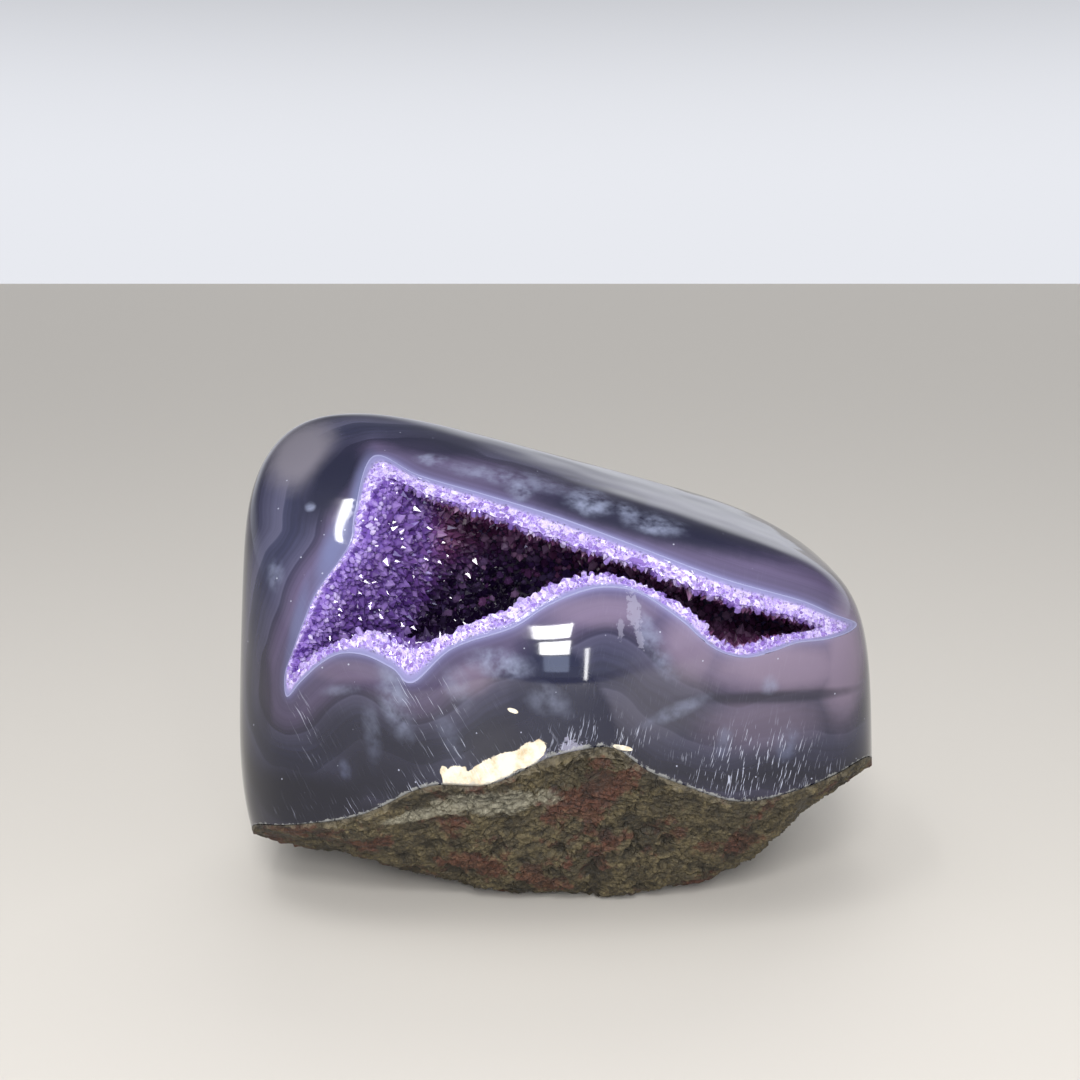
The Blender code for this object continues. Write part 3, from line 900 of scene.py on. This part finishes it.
# %% The colours of the bands
polished_agate, tree, shader, place = new_material("polished_agate")
depth = attribute(tree, "from_hollow")
waver = maths(tree, "MULTIPLY", maths(tree, "SUBTRACT", noise_of(tree, place, 34.0), 0.5), 11.0)
ripple = maths(tree, "MULTIPLY", maths(tree, "SUBTRACT", noise_of(tree, place, 9.0, 1.0), 0.5), 1.6)
away = smooth_step(tree, depth, 1.0, 14.0)
banded = maths(tree, "MULTIPLY_ADD", maths(tree, "ADD", waver, ripple), away, depth)
BANDS = (
    (0.0, (126, 124, 158)),
    (0.4, (112, 108, 142)),
    (1.0, (100, 94, 124)),
    (2.2, (94, 86, 112)),
    (6.0, (96, 86, 112)),
    (8.6, (72, 66, 88)),
    (10.2, (56, 54, 76)),
    (10.5, (82, 80, 102)),
    (13.5, (68, 68, 90)),
    (17.5, (48, 50, 72)),
    (21.0, (58, 60, 82)),
    (21.6, (86, 86, 106)),
    (26.0, (72, 72, 92)),
    (31.0, (44, 45, 64)),
    (34.5, (62, 61, 80)),
    (35.1, (92, 88, 106)),
    (38.0, (62, 60, 78)),
    (42.0, (52, 51, 68)),
    (43.0, (88, 82, 98)),
    (47.0, (70, 66, 82)),
    (49.0, (44, 43, 56)),
    (53.0, (72, 68, 82)),
    (54.0, (98, 92, 106)),
    (60.0, (60, 57, 70)),
)
colour = ramp(tree, maths(tree, "DIVIDE", banded, 60.0), [(at / 60.0, srgb(*tone)) for at, tone in BANDS])
hair_bands = node(
    tree, "TexNoise", {"W": maths(tree, "MULTIPLY", banded, 0.9), "Scale": 1.0, "Detail": 4.0}, noise_dimensions="1D"
).outputs["Fac"]
hair_tone = ramp(tree, hair_bands, ((0.32, srgb(104, 102, 120)), (0.68, srgb(156, 154, 170))))
colour = tinted(tree, 0.5, colour, hair_tone, "SOFT_LIGHT")
height = node(tree, "SeparateXYZ", {0: place}).outputs["Z"]

# %% Veils, windows and clouds, with a painted reflection and a painted sheen
MAUVE = (
    ((63.6, -40.2, 73.1), 21.0, 6.5, 6, 0.85),
    ((80.4, -31.1, 71.0), 7.0, 15.0, 0, 0.9),
    ((56.8, -43.0, 57.8), 17.0, 7.0, 0, 0.5),
    ((-55.6, -47.2, 73.9), 11.4, 2.8, 0, 0.3),
    ((11.4, -47.6, 90.5), 14.0, 3.4, 0, 0.4),
    ((-23.2, -52.1, 73.0), 6.0, 4.0, -20, 0.5),
    ((35.6, -46.8, 79.9), 6.5, 8.5, -30, 0.6),
)
DARK = (
    ((-63.0, -15.0, 121.5), 6.0, 14.0, 33, 1.0),
    ((-46.2, -50.6, 51.8), 15.0, 9.0, 0, 0.7),
    ((2.0, -54.6, 62.8), 9.5, 11.0, -15, 0.8),
    ((60.9, -41.4, 65.2), 25.0, 1.6, 3, 0.7),
    ((22.9, -30.0, 111.8), 36.0, 3.6, 13, 0.95),
    ((-70.5, -43.9, 36.5), 21.0, 9.0, -3, 1.0),
    ((-36.6, -3.2, 130.0), 15.0, 2.6, 6, 0.8),
    ((-15.2, -53.4, 56.9), 11.0, 6.5, -20, 0.9),
    ((-58.6, -47.6, 56.4), 8.5, 7.0, 0, 0.6),
    ((-81.0, -34.3, 65.2), 2.4, 11.5, 0, 0.6),
)
# Painted reflection: a dark navy zone on the front lobe stands in for something dark mirrored in the polish.
PAINTED_DARK_REFLECTION = (((1.5, -54.0, 63.0), 12.5, 24.0, -24, 1.0),)
BLUISH = (
    ((-54.5, -20.0, 119.0), 2.6, 8.0, 8, 1.0),
    ((-60.5, -30.0, 106.0), 3.0, 10.0, 24, 1.0),
    ((-71.0, -41.0, 84.0), 1.6, 12.0, 14, 0.7),
)
# Painted sheen: paler grey zones at the top left and on the front lobe stand in for the pale room mirrored in the
# polish.
PAINTED_PALE_SHEEN = (
    ((-74.2, -4.2, 128.1), 9.5, 9.0, -35, 1.0),
    ((27.5, -49.6, 66.8), 13.0, 10.0, 0, 0.3),
)
CLOUDS = (
    ((-43.3, -50.9, 67.2), 3.4, 9.5, -15, 0.8),
    ((-49.7, -49.8, 57.1), 2.0, 7.5, -5, 0.35),
    ((-57.4, -48.3, 46.8), 1.4, 2.4, -10, 0.6),
    ((-15.2, -52.1, 77.4), 7.0, 3.0, 8, 0.9),
    ((-26.4, -52.2, 71.1), 3.0, 5.0, -20, 0.4),
    ((26.0, -48.5, 81.7), 2.4, 9.0, -28, 0.6),
    ((-2.5, -54.5, 67.7), 5.6, 3.4, 30, 0.45),
    ((-14.5, -16.8, 122.2), 15.5, 1.7, 10, 0.5),
    ((-36.0, -11.1, 126.6), 4.0, 1.2, 5, 0.6),
    ((-10.2, -21.2, 119.4), 3.2, 2.0, 10, 0.7),
    ((9.3, -24.3, 116.2), 5.6, 2.4, 8, 0.8),
    ((19.8, -26.5, 114.0), 3.0, 1.3, 15, 0.7),
    ((26.2, -30.7, 111.1), 7.2, 1.9, 10, 0.7),
    ((-58.4, -47.0, 68.8), 4.6, 1.3, -10, 0.4),
    ((31.7, -48.7, 63.2), 8.0, 1.8, -20, 0.55),
    ((58.0, -42.2, 68.9), 2.2, 2.2, 0, 0.7),
    ((63.3, -41.3, 51.6), 2.8, 4.2, 20, 0.6),
    ((45.3, -46.1, 54.0), 2.2, 3.6, 10, 0.5),
    ((-77.6, -32.1, 97.4), 2.2, 3.6, 0, 0.35),
    ((-68.7, -23.9, 115.0), 1.2, 1.0, 0, 0.8),
    ((-28.6, -52.6, 58.0), 2.4, 5.6, -25, 0.3),
)
colour = tinted(tree, patches(tree, place, MAUVE, 0.55, 0.3), colour, srgb(140, 124, 146))
# Painted sheen: the pale zones lighten the colour.
colour = tinted(tree, patches(tree, place, PAINTED_PALE_SHEEN, 0.5, 0.3), colour, srgb(108, 104, 114))
colour = tinted(tree, patches(tree, place, DARK, 0.5, 0.3), colour, srgb(30, 31, 50))
leftward = smooth_step(tree, node(tree, "SeparateXYZ", {0: place}).outputs["X"], -20.0, -2.0)
# Painted reflection: the navy zone darkens the colour on the front lobe.
colour = tinted(tree, maths(tree, "MULTIPLY", patches(tree, place, PAINTED_DARK_REFLECTION, 0.1, 0.12), leftward), colour, srgb(26, 29, 56))
colour = tinted(tree, patches(tree, place, BLUISH, 0.7, 0.3), colour, srgb(96, 99, 134))
milky = smooth_step(tree, noise_of(tree, place, 5.0, 3.0, 0.6), 0.25, 0.7)
cloudy = maths(tree, "MULTIPLY", maths(tree, "MULTIPLY", patches(tree, place, CLOUDS, 0.6, 0.9), milky), 0.85)
colour = tinted(tree, cloudy, colour, srgb(148, 155, 182))

# %% Painted shade low down, cream patches, painted glints, scratches and the chipped edge
# The first four rows make a cream patch at the foot of the polish. The last two rows are painted highlights: two small
# bright glints.
CREAM_AND_PAINTED_GLINTS = (
    ((-17.6, -53.9, 48.3), 14.0, 3.0, -27, 1.0),
    ((-7.6, -54.2, 53.0), 5.4, 2.9, -38, 1.0),
    ((-26.5, -53.2, 45.2), 4.2, 4.0, -10, 1.0),
    ((-29.4, -53.1, 45.2), 1.3, 4.2, -14, 1.0),
    ((17.3, -52.6, 54.4), 2.6, 0.7, 14, 1.0),
    ((-11.8, -53.4, 64.9), 1.4, 0.7, 20, 1.0),
)
CHIPS = (
    ((20.5, -46.4, 90.7), 1.5, 5.0, -8, 0.45),
    ((16.7, -48.9, 86.4), 0.9, 2.6, 0, 0.35),
    ((22.0, -49.0, 83.2), 0.9, 2.6, -15, 0.35),
    ((-3.3, -54.8, 50.4), 2.4, 3.8, 0, 0.35),
    ((3.9, -54.5, 53.9), 3.4, 3.4, -20, 0.6),
)
SCRATCHED = (
    ((54.2, -44.3, 46.8), 19.0, 10.0, 0, 1.0),
    ((-35.2, -52.1, 67.5), 7.0, 12.5, -28, 0.8),
    ((-26.0, -53.1, 49.8), 8.5, 10.0, -30, 0.8),
    ((11.4, -53.7, 57.3), 14.0, 5.4, 0, 0.9),
    ((-67.8, -44.2, 56.8), 3.4, 9.5, -20, 0.7),
)
# Painted shade: the agate's colour is darkened towards the bottom, once below about 100 mm and again below about 66 mm.
colour = tinted(tree, smooth_step(tree, height, 100.0, 60.0), colour, srgb(205, 205, 205), "MULTIPLY")
colour = tinted(tree, smooth_step(tree, height, 66.0, 40.0), colour, srgb(178, 182, 200), "MULTIPLY")
colour = tinted(tree, patches(tree, place, CHIPS, 0.2, 3.0, 1.2), colour, srgb(150, 148, 168))
creamy = ramp(tree, noise_of(tree, place, 5.0, 5.0, 0.7), ((0.34, srgb(184, 164, 132)), (0.54, srgb(222, 212, 190))))
# The cream patch, and the painted highlights in the same cream colour.
colour = tinted(tree, patches(tree, place, CREAM_AND_PAINTED_GLINTS, 0.06, 1.1, 3.4), colour, creamy)
edge = attribute(tree, "to_rind")
near_edge = maths(tree, "MULTIPLY", smooth_step(tree, edge, 7.0, 1.0), smooth_step(tree, noise_of(tree, place, 9.0), 0.42, 0.6))
scratched = maths(tree, "MAXIMUM", patches(tree, place, SCRATCHED, 0.5, 0.6), near_edge)
swayed = node(tree, "VectorMath", {0: noise_of(tree, place, 7.0, 1.0, output="Color"), "Scale": 1.3}, operation="SCALE").outputs[0]
swayed = node(tree, "VectorMath", {0: place, 1: swayed}).outputs[0]
on_right = smooth_step(tree, node(tree, "SeparateXYZ", {0: place}).outputs["X"], -12.0, 4.0)
on_left = maths(tree, "SUBTRACT", 1.0, on_right)
scored = maths(tree, "MULTIPLY_ADD", scratched, 0.55, 0.02)
upright = maths(tree, "MULTIPLY", maths(tree, "MULTIPLY", hairlines(tree, swayed, 12, 5.0, 0.36, 0.6), scored), on_right)
slanting = maths(tree, "MULTIPLY", maths(tree, "MULTIPLY", hairlines(tree, swayed, -30, 9.0, 0.34, 0.62), scored), on_left)
front_only = smooth_step(tree, node(tree, "SeparateXYZ", {0: place}).outputs["Y"], -30.0, -42.0)
scratches = maths(tree, "MULTIPLY", maths(tree, "MAXIMUM", upright, slanting), front_only)
specks = smooth_step(tree, cells_of(tree, place, 5.5), 0.055, 0.03)
colour = tinted(tree, maths(tree, "MAXIMUM", scratches, maths(tree, "MULTIPLY", specks, 0.5)), colour, srgb(196, 200, 218))
crumbled = maths(tree, "MULTIPLY_ADD", noise_of(tree, place, 1.6, 3.0, 0.7), -2.6, maths(tree, "ADD", edge, 1.2))
chipped = smooth_step(tree, crumbled, 0.2, -0.15)
colour = tinted(tree, maths(tree, "MULTIPLY", chipped, 0.6), colour, srgb(150, 150, 146))
tree.links.new(colour, shader.inputs["Base Color"])

# %% The agate's polish
handled = noise_of(tree, place, 16.0, 4.0, 0.6)
smeared = maths(tree, "MULTIPLY_ADD", handled, 0.09, 0.025)
dull = maths(tree, "MAXIMUM", maths(tree, "MULTIPLY", scratches, 0.35), maths(tree, "MULTIPLY", chipped, 0.6))
tree.links.new(maths(tree, "ADD", smeared, dull), shader.inputs["Roughness"])
tree.links.new(bumped(tree, noise_of(tree, place, 15.0, 0.0), 0.35), shader.inputs["Normal"])
shader.inputs["IOR"].default_value = 1.54
dress(agate, polished_agate)

# %% [markdown]
# ## Amethyst
# Amethyst is clear quartz with a purple tint. Crystals near the rim are paler, and deeper in the hollow they are
# darkened almost to black with painted shade. Each crystal stores its own tone, how deep it sits, how warm it is,
# because iron gives some of them a red cast, and how much painted shade it takes. Its faces stay flat and glossy,
# so that a few of them flash white as they catch the lamp.

# %% The crystals
amethyst, tree, shader, place = new_material("amethyst")
tone = attribute(tree, "tone")
pale = ramp(tree, tone, ((0.0, srgb(128, 98, 180)), (0.6, srgb(158, 134, 202)), (1.0, srgb(204, 192, 230))))
dark = ramp(tree, tone, ((0.0, srgb(72, 44, 110)), (0.6, srgb(108, 78, 152)), (1.0, srgb(154, 128, 192))))
red = ramp(tree, tone, ((0.0, srgb(96, 44, 76)), (0.6, srgb(146, 88, 126)), (1.0, srgb(196, 150, 184))))
dark = tinted(tree, attribute(tree, "warm"), dark, red)
# Painted shade: each crystal is darkened almost to black by its stored shade.
dark = tinted(tree, maths(tree, "MULTIPLY", attribute(tree, "buried"), 0.96), dark, srgb(14, 5, 24))
colour = tinted(tree, attribute(tree, "deep"), pale, dark)
veined = smooth_step(tree, noise_of(tree, place, 0.9, 3.0, 0.7), 0.62, 0.74)
colour = tinted(tree, maths(tree, "MULTIPLY", veined, 0.35), colour, srgb(214, 204, 236))
tree.links.new(colour, shader.inputs["Base Color"])
tree.links.new(maths(tree, "MULTIPLY_ADD", veined, 0.2, 0.04), shader.inputs["Roughness"])
shader.inputs["IOR"].default_value = 1.54
shader.inputs["Transmission Weight"].default_value = 0.2
store_float(crystals.data, "tone", (rng.random(len(places)) ** 1.3)[owner])
store_float(crystals.data, "deep", deepness[owner])
store_float(crystals.data, "warm", warmth[owner])
store_float(crystals.data, "buried", painted_shade_per_crystal[owner])
dress(crystals, amethyst)

# %% [markdown]
# The bed's cut face is the same quartz sawn and polished, so it shows a mosaic of grains with white cracks
# between them. Beside the agate it is clear and bluish, where the first coat of quartz is too fine to see.

# %% The bed
crystal_bed, tree, shader, place = new_material("crystal_bed")
across = attribute(tree, "across")
grains = cells_of(tree, place, 1.5, output="Color")
grain_tone = node(tree, "SeparateColor", {0: grains}).outputs[0]
mosaic = ramp(tree, grain_tone, ((0.0, srgb(124, 98, 178)), (0.5, srgb(158, 138, 202)), (1.0, srgb(200, 188, 228))))
cracks = smooth_step(tree, cells_of(tree, place, 1.3, "DISTANCE_TO_EDGE"), 0.07, 0.01)
sugar = smooth_step(tree, noise_of(tree, place, 0.8, 4.0, 0.8), 0.56, 0.66)
mosaic = tinted(tree, maths(tree, "MAXIMUM", maths(tree, "MULTIPLY", cracks, 0.4), maths(tree, "MULTIPLY", sugar, 0.5)), mosaic, srgb(226, 220, 242))
# Painted shade: on the side where the crystals stand, the grains take a darker, shaded copy of their colours. Deep in
# the hollow they are darkened almost to black.
shaded = ramp(tree, grain_tone, ((0.0, srgb(66, 40, 112)), (0.5, srgb(92, 62, 146)), (1.0, srgb(142, 114, 190))))
under = tinted(tree, smooth_step(tree, across, 4.0, 8.0), shaded, srgb(20, 8, 32))
colour = tinted(tree, smooth_step(tree, across, 0.95, 1.05), mosaic, under)
fine_coat = ramp(tree, across, ((0.0, srgb(146, 146, 182)), (0.08, srgb(118, 117, 156)), (0.4, srgb(144, 135, 184))))
colour = tinted(tree, smooth_step(tree, across, 0.2, 0.42), fine_coat, colour)
tree.links.new(colour, shader.inputs["Base Color"])
grainy = smooth_step(tree, across, 0.14, 0.34)
hidden = smooth_step(tree, across, 1.1, 1.6)
tree.links.new(maths(tree, "MULTIPLY_ADD", hidden, 0.5, maths(tree, "MULTIPLY_ADD", grainy, 0.12, 0.08)), shader.inputs["Roughness"])
relief = maths(tree, "MULTIPLY", maths(tree, "ADD", grain_tone, sugar), grainy)
tree.links.new(bumped(tree, relief, 0.35), shader.inputs["Normal"])
shader.inputs["IOR"].default_value = 1.54
store_float(bed.data, "across", across_values)
dress(bed, crystal_bed)

# %% [markdown]
# ## Rough rind
# The lava's skin weathered to olive and brown with rust where iron ran out of it. Broad noise lays down the
# colours, finer noise breaks them up, and the grinding left a pale, chipped rim where the skin was cut through.

# %% The rind
rind_points = points_of(rind.data) / MM
directions = rind_points - MIDDLE
far = np.linalg.norm(directions, axis=1)
directions /= far[:, None]
store_float(rind.data, "under_polish", np.clip(polished_reach(directions) - VISUAL_SHRINK - far, 0, 30))
store_float(rind.data, "proud", np.clip(far - weathered_reach(directions), -4, 4))
weathered_rind, tree, shader, place = new_material("weathered_rind")
broad = noise_of(tree, place, 15.0, 6.0, 0.65)
EARTH = ((0.3, (44, 38, 27)), (0.42, (74, 66, 46)), (0.5, (112, 102, 74)), (0.55, (70, 62, 44)), (0.66, (100, 92, 68)), (0.78, (56, 50, 38)))
colour = ramp(tree, broad, [(at, srgb(*tone)) for at, tone in EARTH])
elsewhere = node(tree, "VectorMath", {0: place, 1: (31, 7, 90)}).outputs[0]
rusty = smooth_step(tree, noise_of(tree, elsewhere, 16.0, 5.0, 0.65), 0.51, 0.58)
colour = tinted(tree, maths(tree, "MULTIPLY", rusty, 0.68), colour, srgb(98, 48, 36))
QUARTZ = (((-17.0, -54.4, 38.5), 17.0, 3.6, -4, 1.0), ((-38.5, -50, 34), 8.0, 2.0, -12, 1.0))
crystalline = smooth_step(tree, noise_of(tree, place, 4.0, 4.0, 0.7), 0.26, 0.44)
quartz = maths(tree, "MULTIPLY", patches(tree, place, QUARTZ, 0.2, 1.6), crystalline)
colour = tinted(tree, quartz, colour, srgb(150, 147, 132))
# Painted shade: the skin is darkened in its pits and hollows.
painted_pit_shade = smooth_step(tree, attribute(tree, "proud"), 0.2, -1.6)
colour = tinted(tree, maths(tree, "MULTIPLY", painted_pit_shade, 0.75), colour, srgb(26, 22, 17))
gritty = noise_of(tree, place, 1.3, 4.0, 0.8)
colour = tinted(tree, 0.9, colour, ramp(tree, gritty, ((0.34, srgb(46, 44, 42)), (0.66, srgb(212, 210, 206)))), "SOFT_LIGHT")
bent = node(tree, "VectorMath", {0: noise_of(tree, place, 5.0, 1.0, output="Color"), "Scale": 7.0}, operation="SCALE").outputs[0]
bent = node(tree, "VectorMath", {0: place, 1: bent}).outputs[0]
cracked = smooth_step(tree, cells_of(tree, bent, 13.0, "DISTANCE_TO_EDGE"), 0.035, 0.005)
colour = tinted(tree, maths(tree, "MULTIPLY", cracked, 0.35), colour, srgb(18, 15, 11))
colour = tinted(tree, 1.0, colour, srgb(226, 224, 220), "MULTIPLY")
flaked = noise_of(tree, place, 2.6, 3.0, 0.7)
cut_line = smooth_step(tree, maths(tree, "MULTIPLY_ADD", flaked, 0.9, attribute(tree, "under_polish")), 0.5, 0.36)
colour = tinted(tree, maths(tree, "MULTIPLY", cut_line, 0.35), colour, srgb(132, 122, 100))
tree.links.new(colour, shader.inputs["Base Color"])
tree.links.new(maths(tree, "MULTIPLY_ADD", gritty, 0.4, 0.38), shader.inputs["Roughness"])
ridged = maths(tree, "ABSOLUTE", maths(tree, "SUBTRACT", noise_of(tree, bent, 4.0, 3.0, 0.7), 0.5))
coarse = bumped(tree, ridged, -2.0)
coarse = bumped(tree, cracked, -0.3, 1.0, coarse)
tree.links.new(bumped(tree, gritty, 0.55, 1.0, coarse), shader.inputs["Normal"])
dress(rind, weathered_rind)

# %% Hand the pieces over
HANDED = (
    (agate, "agate_shell", "polished_agate"),
    (bed, "amethyst_crust", "amethyst"),
    (crystals, "amethyst_crust", "amethyst"),
    (rind, "rough_rind", "weathered_rind"),
)
for piece, solid, slot in HANDED:
    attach(piece, "root")
    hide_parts(solid)
make_active(agate)
bpy.ops.object.shade_smooth_by_angle(angle=math.radians(35))
make_active(rind)
bpy.ops.object.shade_smooth_by_angle(angle=math.radians(40))

# %% [markdown]
# ## Floor, light and camera
# A glossy stone shows what is around it as much as its own colour. A pale room gives the soft sheen, and one
# square lamp high in front draws the bright window on the middle lobe.

# %% Floor and room
bpy.ops.object.select_all(action="DESELECT")
bpy.ops.mesh.primitive_plane_add(size=40, location=(0, 0, -0.0004))
floor = added("floor")
floor_finish, tree, shader, place = new_material("pale_floor")
shader.inputs["Base Color"].default_value = srgb(208, 203, 195)
shader.inputs["Roughness"].default_value = 0.65
floor.data.materials.append(floor_finish)

world = bpy.context.scene.world or bpy.data.worlds.new("soft_room")
bpy.context.scene.world = world
world.use_nodes = True
tree = world.node_tree
room = tree.nodes["Background"]
sky = node(tree, "SeparateXYZ", {0: node(tree, "TexCoord").outputs["Generated"]}).outputs
behind = smooth_step(tree, sky["Y"], -0.3, 0.5)
overhead = smooth_step(tree, sky["Z"], 0.1, 0.36)
dimmed = maths(tree, "MULTIPLY_ADD", maths(tree, "MULTIPLY", behind, overhead), -0.42, 0.6)
low = maths(tree, "MULTIPLY", smooth_step(tree, sky["Z"], 0.3, 0.05), smooth_step(tree, sky["Y"], 0.0, 0.6))
dimmed = maths(tree, "MULTIPLY_ADD", low, 0.4, dimmed)
near_floor = maths(tree, "MULTIPLY", smooth_step(tree, sky["Z"], 0.35, 0.0), smooth_step(tree, sky["Y"], 0.0, -0.5))
dimmed = maths(tree, "MULTIPLY_ADD", near_floor, 0.4, dimmed)
tree.links.new(dimmed, room.inputs["Strength"])
room.inputs["Color"].default_value = srgb(232, 234, 240)

# %% Lamps and camera


def softbox(name, place, target, along, width, height, power):
    """A flat lamp that faces its target, with its height in the direction `along`."""
    bpy.ops.object.select_all(action="DESELECT")
    bpy.ops.object.light_add(type="AREA", location=place)
    lamp = bpy.context.object
    lamp.name = name
    lamp.data.shape = "RECTANGLE"
    lamp.data.size, lamp.data.size_y = width, height
    lamp.data.energy = power
    back = (Vector(place) - Vector(target)).normalized()
    right = Vector(along).cross(back).normalized()
    lamp.rotation_euler = Matrix((right, back.cross(right), back)).transposed().to_euler()
    return lamp


softbox("upper_window", (-0.035, -0.80, 0.68), (0, -0.05, 0.085), (0, 0, 1), 0.24, 0.17, 4.0)
softbox("lower_window", (-0.02, -0.88, 0.47), (0, -0.05, 0.085), (0, 0, 1), 0.22, 0.19, 4.0)
net_curtain = softbox("net_curtain", (-0.01, -0.93, 0.25), (0, -0.05, 0.085), (0, 0, 1), 0.20, 0.22, 0.5)
net_curtain.data.color = (0.62, 0.72, 1.0)
softbox("window_side", (0.24, -0.92, 0.24), (0, -0.05, 0.085), (0, 0, 1), 0.03, 0.42, 0.8)
softbox("ceiling_lamp", (-0.30, -0.27, 1.03), (-0.06, -0.03, 0.11), (-0.125, -0.951, -0.28), 0.025, 0.38, 0.9)


def soft_fill(name, place, strength):
    """Even light from one side of the room that shows in no reflection."""
    bpy.ops.object.select_all(action="DESELECT")
    bpy.ops.object.light_add(type="SUN", location=place)
    fill = bpy.context.object
    fill.name = name
    fill.data.energy = strength
    fill.data.angle = math.radians(50)
    fill.visible_glossy = False
    fill.rotation_euler = Vector(place).to_track_quat("Z", "Y").to_euler()


soft_fill("front_fill", (0.1, -1.1, 0.3), 0.75)
soft_fill("back_fill", (0.2, 1.2, 0.9), 0.8)
soft_fill("ceiling_fill", (-0.2, -0.1, 1.0), 0.6)
bpy.ops.object.camera_add(location=(-0.0046, -0.437, 0.180), rotation=(math.radians(90 - 10.2), 0, 0))
camera = bpy.context.object
camera.data.lens = 50
camera.data.sensor_width = 36
camera.data.clip_start = 0.01
bpy.context.scene.camera = camera
bpy.context.scene.view_settings.view_transform = "Standard"
